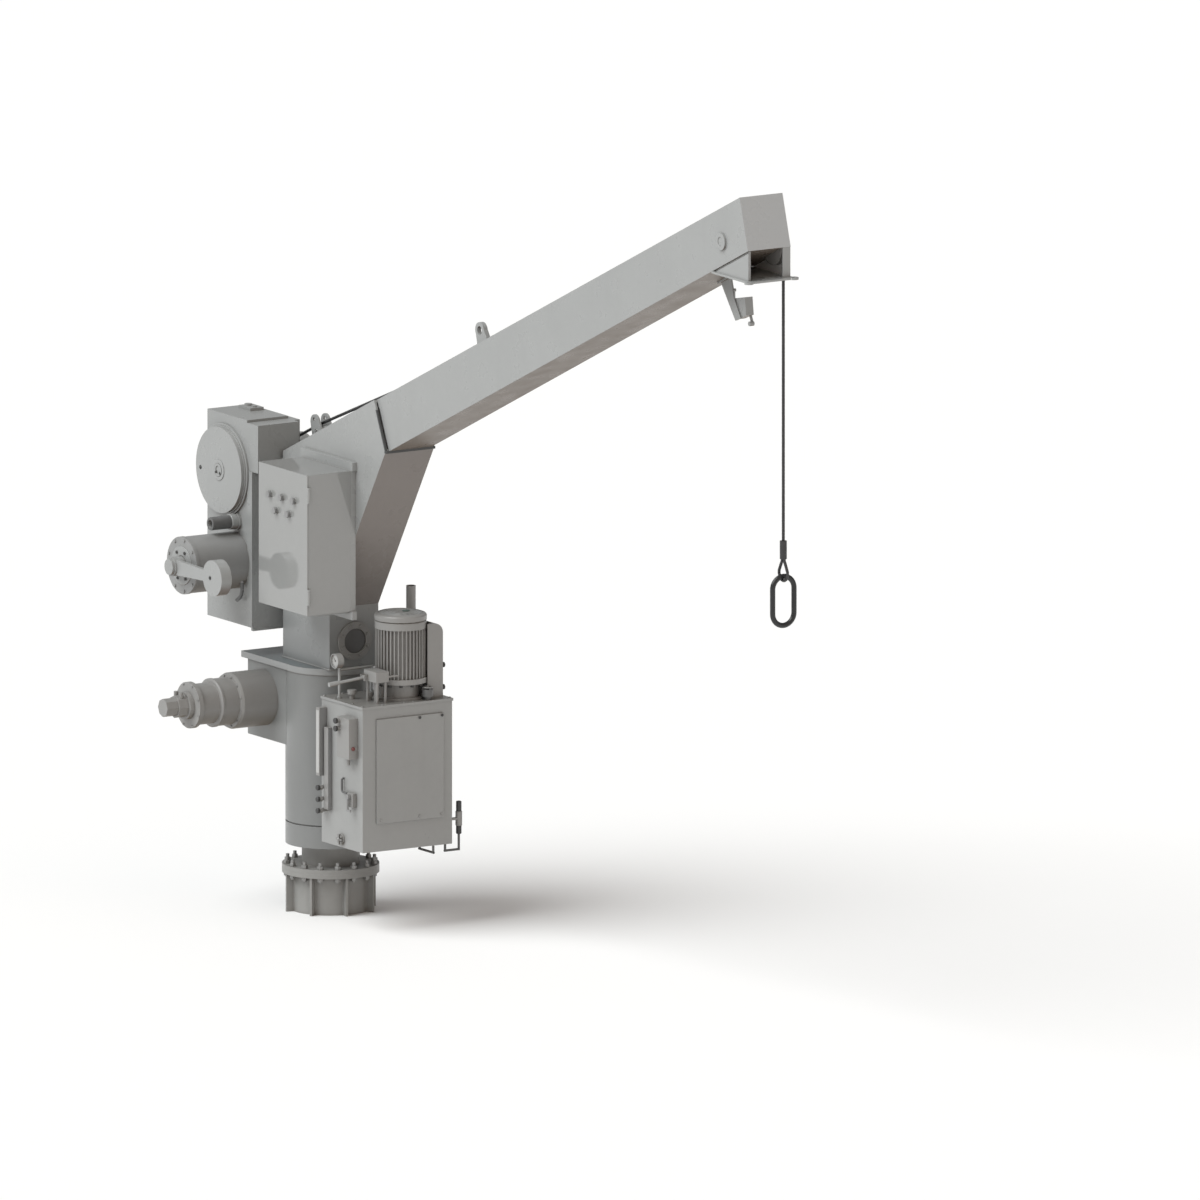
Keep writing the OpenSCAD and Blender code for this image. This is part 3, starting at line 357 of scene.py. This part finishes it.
STEEL = finish_material("machined_steel", (0.50, 0.50, 0.49), rough=0.34, metallic=0.9, tone=0.06, streaks=0.05, corner_grime_and_shade=0.35, wear=0.3,
                        wear_col=(0.70, 0.70, 0.69), bump=0.10, bump_scale=60.0, brushed=(3.0, 40.0, 40.0), rough_var=0.10)
BOLT = finish_material("zinc_bolts", (0.30, 0.30, 0.295), rough=0.44, metallic=0.5, tone=0.08, streaks=0.10, corner_grime_and_shade=0.50, wear=0.6,
                       wear_col=(0.50, 0.50, 0.49), bump=0.16, rough_var=0.10)
DARK_BOLT = finish_material("black_bolts", (0.060, 0.060, 0.060), rough=0.42, metallic=0.3, tone=0.12, streaks=0.0, corner_grime_and_shade=0.40, wear=0.6,
                            wear_col=(0.22, 0.22, 0.22), bump=0.14, edge=0.001, rough_var=0.08)
BRONZE = finish_material("bronze", (0.48, 0.30, 0.12), rough=0.34, metallic=0.9, tone=0.08, streaks=0.0, corner_grime_and_shade=0.5, wear=0.4,
                         wear_col=(0.70, 0.48, 0.22), bump=0.12, rough_var=0.10)
ROPE = finish_material("greased_wire_rope", (0.062, 0.062, 0.063), rough=0.42, metallic=0.55, tone=0.15, streaks=0.0, corner_grime_and_shade=0.7,
                       grime_and_shade_col=(0.010, 0.009, 0.008), wear=0.6, wear_col=(0.16, 0.16, 0.16), bump=0.25, bump_scale=500.0, edge=0.0006, rough_var=0.10)
LINK = finish_material("black_link", (0.018, 0.019, 0.020), rough=0.32, metallic=0.0, tone=0.15, streaks=0.0, corner_grime_and_shade=0.3, grime_and_shade_col=(0.01, 0.01, 0.01),
                       wear=0.5, wear_col=(0.14, 0.14, 0.14), bump=0.12, rough_var=0.08)
PLASTIC = finish_material("black_plastic", (0.030, 0.031, 0.032), rough=0.42, tone=0.10, streaks=0.0, corner_grime_and_shade=0.3, grime_and_shade_col=(0.01, 0.01, 0.01),
                          wear=0.4, wear_col=(0.09, 0.09, 0.09), bump=0.10, bump_scale=600.0, edge=0.001, rough_var=0.08)
# near-black finish for the strip of painted shade in the groove at the knee
GROOVE_SHADE_DARK = finish_material("groove_shade_dark", (0.075, 0.078, 0.078), rough=0.60, tone=0.12, streaks=0.0, corner_grime_and_shade=0.4, grime_and_shade_col=(0.02, 0.02, 0.02),
                         wear=0.3, wear_col=(0.11, 0.11, 0.11), bump=0.12, bump_scale=400.0, edge=0.002, rough_var=0.10)
BUTTON = finish_material("grey_button", (0.255, 0.256, 0.256), rough=0.36, tone=0.08, streaks=0.0, corner_grime_and_shade=0.35, grime_and_shade_col=(0.05, 0.05, 0.05),
                         wear=0.4, wear_col=(0.42, 0.42, 0.42), bump=0.08, bump_scale=600.0, edge=0.001, rough_var=0.08)
ELECTRIC = finish_material("electrical_parts", (0.42, 0.41, 0.38), rough=0.50, tone=0.10, streaks=0.0, corner_grime_and_shade=0.5, wear=0.3,
                           wear_col=(0.50, 0.49, 0.46), bump=0.08, rough_var=0.08)
RED = finish_material("red_lamp", (0.17, 0.045, 0.040), rough=0.30, tone=0.10, streaks=0.0, corner_grime_and_shade=0.2, wear=0.2,
                      wear_col=(0.25, 0.09, 0.08), bump=0.05, edge=0.001, rough_var=0.05)
DIAL = finish_material("dial_white", (0.44, 0.44, 0.43), rough=0.30, tone=0.04, streaks=0.0, corner_grime_and_shade=0.3, wear=0.2,
                       wear_col=(0.56, 0.56, 0.54), bump=0.04, edge=0.001, rough_var=0.05)

by_slot = {"grey_paint": PAINT, "dark_grey_paint": PAINT_DARK, "steel": STEEL, "bronze": BRONZE, "wire_rope": ROPE,
           "black_steel": LINK, "black_plastic": PLASTIC, "electrical_parts": ELECTRIC}
slot_of = {s["node"]: s["material_slot"] for s in frame["record"]["subparts"]}
special = {"foundation_stub": PAINT_BASE, "pedestal_pillar": PAINT_BASE, "foundation_bolts": BOLT, "column_top_plate": PLATE,
           "control_cabinet": GLOSS, "cabinet_door": GLOSS, "hand_pump_lever": PAINT, "filler_cap": SLEEVE, "winch_motor": MOTOR_PAINT,
           "slewing_column": PAINT_COLUMN_SHADED, "head_bracket": PAINT_HEAD, "boom_post": PAINT_POST, "boom": PAINT_BOOM, "winch_casing": PAINT_WINCH_SHADED, "winch_cover": PAINT_WINCH_SHADED,
           "oil_tank": PAINT_TANK_SHADED, "tank_lid": PAINT_TANK_SHADED, "tank_access_panel": PAINT_TANK_SHADED, "column_end_ring": PAINT_COLUMN_SHADED, "slewing_gear_housing": PAINT_COLUMN_SHADED,
           "limit_switch": PAINT, "limit_switch_arm": PAINT, "tank_valve_handle": BUTTON}
special.update({n: BUTTON for n in NODES if n.startswith("button_")})


def shade(obj, angle=35.0):
    """Smooth shading with sharp edges kept: a CAD mesh keeps its own vertices."""
    me = obj.data
    me.polygons.foreach_set("use_smooth", [True] * len(me.polygons))
    if hasattr(me, "set_sharp_from_angle"):
        me.set_sharp_from_angle(angle=math.radians(angle))


for name, obj in NODES.items():
    mat = special.get(name, by_slot[slot_of[name]])
    obj.data.materials.clear()
    obj.data.materials.append(mat)


# ---------------------------------------------------------------- mesh helpers
def new_mesh(name, verts, faces, mat, body, smooth=True, angle=35.0):
    me = bpy.data.meshes.new(name)
    me.from_pydata([tuple(v) for v in verts], [], [tuple(f) for f in faces])
    me.validate()
    me.update()
    me.materials.append(mat)
    o = bpy.data.objects.new(name, me)
    scene.collection.objects.link(o)
    if smooth:
        shade(o, angle)
    if body:
        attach(o, body)
    return o


class Builder:
    """Collects solids into one mesh."""

    def __init__(self):
        self.v, self.f = [], []

    def add(self, verts, faces):
        n = len(self.v)
        self.v += [tuple(p) for p in verts]
        self.f += [tuple(i + n for i in f) for f in faces]

    def box(self, lo, hi, m=None):
        (x0, y0, z0), (x1, y1, z1) = lo, hi
        vs = [Vector(p) for p in [(x0, y0, z0), (x1, y0, z0), (x1, y1, z0), (x0, y1, z0), (x0, y0, z1), (x1, y0, z1), (x1, y1, z1), (x0, y1, z1)]]
        if m is not None:
            vs = [m @ p for p in vs]
        self.add(vs, [(0, 3, 2, 1), (4, 5, 6, 7), (0, 1, 5, 4), (1, 2, 6, 5), (2, 3, 7, 6), (3, 0, 4, 7)])

    def lathe(self, profile, m, n=32, phase=0.0):
        """Closed solid of revolution: profile is (radius, height) from bottom axis to top axis, turned about m's Z."""
        vs, fs, rows = [], [], []
        for r, h in profile:
            if r < 1e-9:
                rows.append([len(vs)])
                vs.append(m @ Vector((0, 0, h)))
            else:
                rows.append(list(range(len(vs), len(vs) + n)))
                vs += [m @ Vector((r * math.cos(2 * math.pi * k / n + phase), r * math.sin(2 * math.pi * k / n + phase), h)) for k in range(n)]
        for a, b in zip(rows, rows[1:]):
            for k in range(n):
                q = (k + 1) % n
                if len(a) == 1 and len(b) == 1:
                    break
                if len(a) == 1:
                    fs.append((a[0], b[q], b[k]))
                elif len(b) == 1:
                    fs.append((a[k], a[q], b[0]))
                else:
                    fs.append((a[k], a[q], b[q], b[k]))
        self.add(vs, fs)

    def ring(self, profile, m, n=40):
        """Closed ring: profile is a closed outline of (radius, height), turned about m's Z."""
        k, vs, fs = len(profile), [], []
        for i in range(n):
            a = 2 * math.pi * i / n
            vs += [m @ Vector((r * math.cos(a), r * math.sin(a), h)) for r, h in profile]
        for i in range(n):
            for j in range(k):
                a, b, q = i * k, ((i + 1) % n) * k, (j + 1) % k
                fs.append((a + j, a + q, b + q, b + j))
        self.add(vs, fs)

    def tube(self, pts, r, n=12, closed_ends=True, lobes=0, lay=0.1, depth=0.20):
        """Round or lobed rod along points. r may be a list."""
        pts = [Vector(p) for p in pts]
        cnt = len(pts)
        tang = [(pts[min(i + 1, cnt - 1)] - pts[max(i - 1, 0)]).normalized() for i in range(cnt)]
        ref = Vector((0, 1, 0)) if abs(tang[0].y) < 0.9 else Vector((1, 0, 0))
        u = (ref - tang[0] * ref.dot(tang[0])).normalized()
        vs, fs, s = [], [], 0.0
        for i in range(cnt):
            if i:
                s += (pts[i] - pts[i - 1]).length
                u = (u - tang[i] * u.dot(tang[i])).normalized()
            w = tang[i].cross(u)
            rad = r[i] if isinstance(r, (list, tuple)) else r
            for k in range(n):
                a = 2 * math.pi * k / n
                q = rad
                if lobes:
                    ph = (a * lobes / (2 * math.pi)) % 1.0
                    q = rad * (1 - depth + depth * math.sqrt(max(0.0, 1 - (2 * ph - 1) ** 2)))
                a2 = a + (2 * math.pi * s / lay if lobes else 0.0)
                vs.append(pts[i] + (u * math.cos(a2) + w * math.sin(a2)) * q)
        for i in range(cnt - 1):
            for k in range(n):
                q = (k + 1) % n
                fs.append((i * n + k, i * n + q, (i + 1) * n + q, (i + 1) * n + k))
        if closed_ends:
            fs.append(tuple(range(n - 1, -1, -1)))
            fs.append(tuple((cnt - 1) * n + k for k in range(n)))
        self.add(vs, fs)

    def make(self, name, mat, body, angle=35.0):
        return new_mesh(name, self.v, self.f, mat, body, angle=angle)


def axis_m(origin, direction):
    """Matrix that puts local Z along direction at origin."""
    z = Vector(direction).normalized()
    ref = Vector((0, 0, 1)) if abs(z.z) < 0.9 else Vector((1, 0, 0))
    x = ref.cross(z).normalized()
    y = z.cross(x)
    m = Matrix((x, y, z)).transposed().to_4x4()
    m.translation = Vector(origin)
    return m


def hex_bolt(b, at, direction, r=0.009, h=0.007, washer=True):
    m = axis_m(at, direction)
    if washer:
        b.lathe([(0, 0), (r * 1.35, 0), (r * 1.35, h * 0.18), (r * 1.2, h * 0.25), (0, h * 0.25)], m, 20)
    b.lathe([(0, h * 0.2), (r, h * 0.2), (r, h * 0.92), (r * 0.88, h * 1.0), (0, h * 1.0)], m, 6, phase=0.3)


def spaced(p, q, step):
    p, q = Vector(p), Vector(q)
    n = max(1, int(round((q - p).length / step)))
    return [p.lerp(q, i / n) for i in range(n + 1)]


def weld(b, pts, r=0.0045, seed=0):
    """A fillet weld: a rod with overlapping ripples."""
    rnd = random.Random(seed)
    fine = []
    for p, q in zip(pts, pts[1:]):
        seg = spaced(p, q, 0.006)
        fine += seg if not fine else seg[1:]
    rad = [r * (0.86 + 0.20 * (i % 2) + 0.05 * rnd.random()) for i in range(len(fine))]
    b.tube(fine, rad, n=8)


# ---------------------------------------------------------------- ropes
def rope_points():
    pts = []
    a0, b0 = math.radians(23.85), math.radians(21.18)
    g = loc(-1.046, BOOM_D + 0.0853)
    pr = 0.108
    for k in range(62, -1, -1):
        a = a0 + math.radians(5.0) * k
        pts.append((DRUM[0] - pr * math.sin(a), DRUM[1] + pr * math.cos(a)))
    g0 = (g[0] - 0.039 * math.sin(a0), g[1] + 0.039 * math.cos(a0))
    g1 = (g[0] - 0.039 * math.sin(b0), g[1] + 0.039 * math.cos(b0))
    s0 = (SHEAVE[0] - 0.100 * math.sin(b0), SHEAVE[1] + 0.100 * math.cos(b0))

    def line(p, q, step):
        n = max(1, int(round(math.dist(p, q) / step)))
        return [(p[0] + (q[0] - p[0]) * i / n, p[1] + (q[1] - p[1]) * i / n) for i in range(1, n + 1)]

    pts += line(pts[-1], g0, 0.012)
    pts += line(g0, g1, 0.012)
    pts += line(g1, s0, 0.012)
    for k in range(1, 23):
        a = b0 - math.radians(111.18) * k / 22
        pts.append((SHEAVE[0] - 0.100 * math.sin(a), SHEAVE[1] + 0.100 * math.cos(a)))
    pts += line(pts[-1], (FALL_X, 4.450), 0.012)
    return [(x, ROPE_Y, z) for x, z in pts]


b = Builder()
b.tube(rope_points(), 0.009, n=24, lobes=6, lay=0.115)
boom_rope = b.make("boom_rope_strands", ROPE, "column", angle=60)
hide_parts("boom_rope")

fall_pts = spaced((FALL_X, ROPE_Y, 4.449), (FALL_X, ROPE_Y, 2.815), 0.010)
b = Builder()
b.tube(fall_pts, 0.009, n=24, lobes=6, lay=0.115)
fall = b.make("fall_rope_strands", ROPE, "column", angle=60)
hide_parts("fall_rope")
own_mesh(fall)

# layer of rope on the drum, over the model's plain rings
b = Builder()
for i in (-4, -3, -2, -1, 1, 2, 3, 4):
    ring = [(DRUM[0] + 0.107 * math.cos(2 * math.pi * k / 90), ROPE_Y + 0.019 * i, DRUM[1] + 0.107 * math.sin(2 * math.pi * k / 90)) for k in range(91)]
    b.tube(ring, 0.00945, n=24, lobes=6, lay=2 * math.pi * 0.107 / 6, closed_ends=True, depth=0.045)
drum_turns = b.make("drum_rope_turns", ROPE, "drum", angle=60)

# ---------------------------------------------------------------- welds, a strip of painted shade and fastenings of the steelwork
b = Builder()
ringp = [(0.2555 * math.cos(2 * math.pi * k / 140), 0.2555 * math.sin(2 * math.pi * k / 140), 1.3735) for k in range(141)]
weld(b, ringp, 0.0045, 3)
ringp = [(0.223 * math.cos(2 * math.pi * k / 120), 0.223 * math.sin(2 * math.pi * k / 120), 0.213) for k in range(121)]
foot = [(-0.253, -0.163, 1.413), (0.253, -0.163, 1.413), (0.253, 0.163, 1.413), (-0.253, 0.163, 1.413), (-0.253, -0.163, 1.413)]
weld(b, foot, 0.0050, 4)
lug = [(loc(s0, 0.304)[0], y0, loc(s0, 0.304)[1]) for s0, y0 in ((1.036, -0.058), (1.164, -0.058), (1.164, -0.028), (1.036, -0.028), (1.036, -0.058))]
weld(b, lug, 0.0040, 5)
column_welds = b.make("column_welds", PAINT, "column", angle=60)

b = Builder()
weld(b, ringp, 0.0045, 6)
for i in range(8):
    a0 = math.radians(-11.25 + 45 * i)
    for t in (-1, 1):
        c, q = Vector((math.cos(a0), math.sin(a0), 0)), Vector((-math.sin(a0), math.cos(a0), 0)) * 0.0085 * t
        weld(b, [tuple(c * 0.2215 + q + Vector((0, 0, 0.01))), tuple(c * 0.2215 + q + Vector((0, 0, 0.208)))], 0.0035, 10 + i)
b.make("foundation_welds", PAINT_BASE, "pedestal", angle=60)

# painted shade: a dark strip laid in the groove where the boom leaves the post, standing in for the groove's shade
b = Builder()
b.box((0.8400, -0.1605, 2.7385), (0.8620, 0.1605, 2.7535))
p0, p1 = loc(0.0, 0.0), loc(-0.001, 0.245)
b.add([(p0[0] - 0.006, -0.1612, p0[1] - 0.004), (p0[0] + 0.004, -0.1612, p0[1] - 0.004), (p1[0] + 0.004, -0.1612, p1[1]), (p1[0] - 0.006, -0.1612, p1[1]),
       (p0[0] - 0.006, -0.1500, p0[1] - 0.004), (p0[0] + 0.004, -0.1500, p0[1] - 0.004), (p1[0] + 0.004, -0.1500, p1[1]), (p1[0] - 0.006, -0.1500, p1[1])],
      [(0, 1, 2, 3), (7, 6, 5, 4), (0, 4, 5, 1), (1, 5, 6, 2), (2, 6, 7, 3), (3, 7, 4, 0)])
b.make("knee_groove_shade", GROOVE_SHADE_DARK, "column", angle=30)

# blanking disc in the access port
b = Builder()
b.lathe([(0, 0), (0.0695, 0), (0.0695, 0.0035), (0.066, 0.0045), (0, 0.0045)], axis_m((0.254, 0, 1.565), (1, 0, 0)), 64)
b.make("port_blank", SLEEVE, "column")

# ---------------------------------------------------------------- winch details
b = Builder()
for k in range(6):
    a0 = math.radians(3.7 + 60 * k)
    hex_bolt(b, (MOTOR[0] + 0.084 * math.cos(a0), -0.6600, MOTOR[1] + 0.084 * math.sin(a0)), (0, -1, 0), 0.0095, 0.011)
hex_bolt(b, (-0.826, -0.3500, 2.4177), (0, -1, 0), 0.0090, 0.005)
for x0, z0 in ((-0.652, 2.4180), (-0.610, 2.4150)):
    hex_bolt(b, (x0, -0.3540, z0), (0, -1, 0), 0.0075, 0.005)
b.make("winch_bolts", DARK_BOLT, "column")

b = Builder()
hex_bolt(b, (-0.101, -0.7300, 1.9355), (0, -1, 0), 0.0085, 0.005)
b.make("brake_weight_screw", DARK_BOLT, "brake")

b = Builder()
m = axis_m((DRUM[0], -0.3500, DRUM[1]), (0, -1, 0))
b.ring([(0.0370, -0.001), (0.0600, -0.001), (0.0600, 0.0030), (0.0570, 0.0042), (0.0400, 0.0042), (0.0370, 0.0030)], m, 64)
m = axis_m((MOTOR[0], -0.6600, MOTOR[1]), (0, -1, 0))
b.ring([(0.0560, -0.001), (0.1100, -0.001), (0.1100, 0.0030), (0.1080, 0.0045), (0.0580, 0.0045), (0.0560, 0.0030)], m, 64)
m = axis_m((-0.4973, -0.3240, 2.1585), (0, -1, 0))
b.ring([(0.0352, 0.0), (0.0440, 0.0), (0.0440, 0.0380), (0.0420, 0.0400), (0.0352, 0.0400)], m, 48)
b.make("winch_rims", PAINT, "column")

b = Builder()
m = axis_m((-0.4973, -0.3640, 2.1585), (0, -1, 0))
b.ring([(0.0352, 0.0), (0.0375, 0.0), (0.0375, 0.118), (0.036, 0.1235), (0.0225, 0.1235), (0.0225, 0.1100), (0.0352, 0.1100)], m, 48)
# sleeve over the cable's guard pipe
pts = [(-0.396, -0.340, z) for z in (1.826, 1.814, 1.802, 1.790)]
pts += [(-0.466 + 0.070 * math.cos(math.radians(a0)), -0.340, 1.790 - 0.070 * math.sin(math.radians(a0))) for a0 in range(6, 61, 6)]
pts += [(-0.431 - 0.866 * q, -0.340, 1.72938 - 0.5 * q) for q in (0.012, 0.024)]
b.tube(pts, 0.0102, n=20)
b.make("crank_sleeve", SLEEVE, "column")

# lip under the rear edge of the winch's casing
b = Builder()
b.box((-0.3490, -0.3085, 1.5570), (-0.3272, -0.0040, 1.5760))
b.make("winch_foot_lip", PAINT_WINCH_SHADED, "column")

# stud above the limit switch
b = Builder()
b.lathe([(0, 0), (0.0035, 0), (0.0035, 0.040), (0.0085, 0.041), (0.0085, 0.053), (0.0065, 0.056), (0, 0.056)], axis_m((4.204, 0.0850, 4.1240), (0, 0, 1)), 20)
b.make("switch_stud", BOLT, "column")

# ---------------------------------------------------------------- power pack details
FY = -0.293
b = Builder()
b.box((0.4060, FY - 0.0505, 0.872), (0.4360, FY - 0.0488, 1.228))
b.lathe([(0, 0), (0.0368, 0), (0.0368, 0.0015), (0, 0.0015)], axis_m((0.503, -0.2740, 1.514), (0, -1, 0)), 48)
b.make("gauge_faces", DIAL, "column")

b = Builder()
b.box((0.4400, FY - 0.0480, 0.858), (0.4412, FY - 0.001, 1.241))
b.box((0.4940, FY - 0.0250, 0.672), (0.4952, FY - 0.001, 1.133))
b.make("level_gauge_guards", BUTTON, "column")

b = Builder()
for z in (0.790, 0.724, 0.659):
    m = axis_m((0.440, FY - 0.050, z), (0, -1, 0))
    b.lathe([(0, 0), (0.0135, 0), (0.0155, 0.003), (0.0155, 0.014), (0.0125, 0.018), (0, 0.018)], m, 24)
for z in (1.210, 1.165):
    m = axis_m((0.668, FY - 0.076, z), (0, -1, 0))
    b.lathe([(0, 0), (0.0150, 0), (0.0165, 0.003), (0.0165, 0.012), (0.0140, 0.015), (0, 0.015)], m, 28)
for z in (1.480, 1.354):
    m = axis_m((0.752, 0.268, z), (0, 1, 0))
    b.lathe([(0, 0), (0.012, 0), (0.012, 0.006), (0.015, 0.007), (0.015, 0.016), (0.012, 0.018), (0, 0.018)], m, 24)
# needle and rim marks of the gauge
b.box((0.5015, -0.2768, 1.514), (0.5045, -0.2753, 1.540), Matrix.Translation((0.503, 0, 1.514)) @ Matrix.Rotation(math.radians(-48), 4, "Y") @ Matrix.Translation((-0.503, 0, -1.514)))
b.lathe([(0, 0), (0.0045, 0), (0.0045, 0.003), (0, 0.003)], axis_m((0.503, -0.2752, 1.514), (0, -1, 0)), 16)
for k in range(0, 10):
    a0 = math.radians(-45 + 30 * k)
    m = Matrix.Translation((0.503, -0.2757, 1.514)) @ Matrix.Rotation(a0, 4, "Y")
    b.box((0.0270, -0.0006, -0.0009), (0.0335, 0.0002, 0.0009), m)
# screws of the tank's cover
for y in (0.073, 0.219):
    b.lathe([(0, 0), (0.0085, 0), (0.0085, 0.002), (0, 0.003)], axis_m((0.8398, y, 1.212), (1, 0, 0)), 20)
# flange screws of the pump motor
for k in range(12):
    a0 = math.radians(30 * k)
    b.lathe([(0, 0), (0.0115, 0), (0.0115, 0.0150), (0, 0.0150)], axis_m((0.652 + 0.128 * math.cos(a0), 0.060 + 0.128 * math.sin(a0), 1.3767), (0, 0, 1)), 6)
# grommets of the hose beside the tank
b.lathe([(0.0, 0.0), (0.0155, 0.0), (0.0155, 0.055), (0.0125, 0.058), (0, 0.058)], axis_m((0.800, 0.352, 0.6465), (0, 0, 1)), 24)
b.lathe([(0, 0), (0.0125, 0), (0.0155, 0.003), (0.0155, 0.046), (0, 0.046)], axis_m((0.800, 0.352, 0.518), (0, 0, 1)), 24)
b.lathe([(0, 0), (0.022, 0), (0.022, 0.0015), (0, 0.002)], axis_m((0.613, 0.120, 1.7812), (0, 0, 1)), 24)
b.make("pack_black_parts", DARK_BOLT, "column")

b = Builder()
# drain pipe on the tank's side
x0, z0 = 0.624, 0.868
pts = [(x0, FY + 0.002, z0), (x0, FY - 0.008, z0 - 0.001), (x0, FY - 0.014, z0 - 0.006)] + [(x0, FY - 0.015, z0 - 0.012 - 0.012 * k) for k in range(5)]
pts += [(x0 + 0.016 * (1 - math.cos(math.radians(a0))), FY - 0.015, z0 - 0.060 - 0.016 * math.sin(math.radians(a0))) for a0 in range(15, 91, 15)]
pts += [(x0 + 0.016 + 0.011 * k, FY - 0.015, z0 - 0.076) for k in range(1, 5)]
b.tube(pts, 0.0060, n=12)
# bails under the tank
for path in ([(0.672, 0.173, 0.468), (0.672, 0.173, 0.432)], [(0.666, 0.173, 0.430), (0.825, 0.173, 0.430)], [(0.819, 0.173, 0.468), (0.819, 0.173, 0.432)],
             [(0.800, 0.262, 0.468), (0.800, 0.262, 0.424)], [(0.800, 0.256, 0.430), (0.800, 0.352, 0.430)], [(0.800, 0.352, 0.424), (0.800, 0.352, 0.520)]):
    b.tube(spaced(path[0], path[1], 0.03), 0.0070, n=12)
b.make("pack_pipes", SLEEVE, "column")

b = Builder()
b.ring([(0.030, 0.0), (0.1225, 0.0), (0.1225, 0.0022), (0.030, 0.0022)], axis_m((0.652, 0.060, 1.7806), (0, 0, 1)), 64)
for r0 in (0.052, 0.074, 0.096, 0.116):
    b.ring([(r0 - 0.003, 0.0010), (r0 + 0.003, 0.0010), (r0 + 0.003, 0.0040), (r0 - 0.003, 0.0040)], axis_m((0.652, 0.060, 1.7806), (0, 0, 1)), 48)
b.make("fan_grille", PAINT, "column")

b = Builder()
b.lathe([(0, 0), (0.0215, 0), (0.0215, 0.0035), (0.0190, 0.0050), (0, 0.0050)], axis_m((0.632, 0.108, 1.7835), (0, 0, 1)), 32)
b.make("fan_cover_plug", FAN, "column")

b = Builder()
m = axis_m((0.773, -0.3255, 1.060), (1, 0, 0))
b.lathe([(0, 0), (0.011, 0), (0.011, 0.005), (0.0085, 0.009), (0, 0.0105)], m, 24)
b.make("junction_lamp", RED, "column")

b = Builder()
for k in range(4):
    a0 = math.pi / 2 * k
    m = axis_m((0.601, FY - 0.010, 0.518), (0, -1, 0)) @ Matrix.Rotation(a0, 4, "Z")
    b.box((0.006, -0.005, 0.006), (0.030, 0.005, 0.014), m)
b.lathe([(0, 0), (0.011, 0), (0.011, 0.018), (0.008, 0.021), (0, 0.021)], axis_m((0.601, FY - 0.010, 0.518), (0, -1, 0)), 24)
b.make("drain_handle", BOLT, "column")

# delivery line between the hand pump and the pump under the motor
b = Builder()
b.lathe([(0, 0), (0.0200, 0), (0.0200, 0.010), (0.0130, 0.011), (0.0130, 0.058), (0.0170, 0.059), (0.0170, 0.0745), (0, 0.0745)], axis_m((0.647, -0.062, 1.2990), (0, 0, 1)), 32)
b.make("pump_line", PAINT_DARK, "column")

b = Builder()
b.ring([(0.0190, 0.0), (0.0300, 0.0), (0.0300, 0.0040), (0.0275, 0.0060), (0.0215, 0.0060), (0.0190, 0.0040)], axis_m((0.796, 0.150, 1.3692), (0, 0, 1)), 40)
b.lathe([(0, 0), (0.0080, 0), (0.0080, 0.0080), (0.0055, 0.0105), (0, 0.0105)], axis_m((0.796, 0.150, 1.3692), (0, 0, 1)), 24)
b.make("filler_grip", BOLT, "filler")

# fastenings of the tank's lid and the slewing gearbox
b = Builder()
for x0, y0 in ((0.40, -0.285), (0.515, -0.285), (0.70, -0.285), (0.81, -0.285), (0.818, -0.16), (0.818, -0.02), (0.818, 0.04), (0.81, 0.285), (0.62, 0.285), (0.50, 0.285),
               (0.392, 0.14), (0.392, -0.02), (0.392, -0.16)):
    hex_bolt(b, (x0, y0, 1.300), (0, 0, 1), 0.0075, 0.006)
for k in range(12):
    a0 = 2 * math.pi * (k + 0.5) / 12
    hex_bolt(b, (-0.330 + 0.1440 * math.cos(a0), -0.4748, 1.176 + 0.1440 * math.sin(a0)), (0, -1, 0), 0.0060, 0.0040)
for k in range(8):
    a0 = 2 * math.pi * (k + 0.5) / 8
    hex_bolt(b, (-0.330 + 0.1230 * math.cos(a0), -0.7360, 1.176 + 0.1230 * math.sin(a0)), (0, -1, 0), 0.0060, 0.0045)
b.make("machine_bolts", BOLT, "column")

# ---------------------------------------------------------------- stage
floor_me = bpy.data.meshes.new("floor")
S = 150.0
floor_me.from_pydata([(-S, -S, 0), (S, -S, 0), (S, S, 0), (-S, S, 0)], [], [(0, 1, 2, 3)])
floor = bpy.data.objects.new("floor", floor_me)
scene.collection.objects.link(floor)
fm = bpy.data.materials.new("floor")
fm.use_nodes = True
fb = fm.node_tree.nodes["Principled BSDF"]
fb.inputs["Base Color"].default_value = (0.93, 0.93, 0.93, 1)
fb.inputs["Roughness"].default_value = 0.9
fb.inputs["Specular IOR Level"].default_value = 0.1
floor_me.materials.append(fm)

world = bpy.data.worlds.new("studio")
scene.world = world
world.use_nodes = True
world.node_tree.nodes["Background"].inputs["Color"].default_value = (1.0, 1.0, 1.0, 1)
world.node_tree.nodes["Background"].inputs["Strength"].default_value = 0.34


def sun(name, toward, strength, spread, color):
    """A soft directional lamp: toward is the direction from the object to the lamp."""
    ld = bpy.data.lights.new(name, "SUN")
    ld.energy = strength
    ld.angle = math.radians(spread)
    ld.color = color
    o = bpy.data.objects.new(name, ld)
    scene.collection.objects.link(o)
    d = Vector(toward).normalized()
    o.location = d * 12.0
    o.rotation_mode = "QUATERNION"
    o.rotation_quaternion = (-d).to_track_quat("-Z", "Y")
    return o


sun("key", (-0.12, -0.62, 0.775), 2.90, 50.0, (0.98, 1.0, 1.0))
sun("fill", (0.86, -0.06, 0.42), 0.44, 80.0, (1.0, 0.72, 0.50))
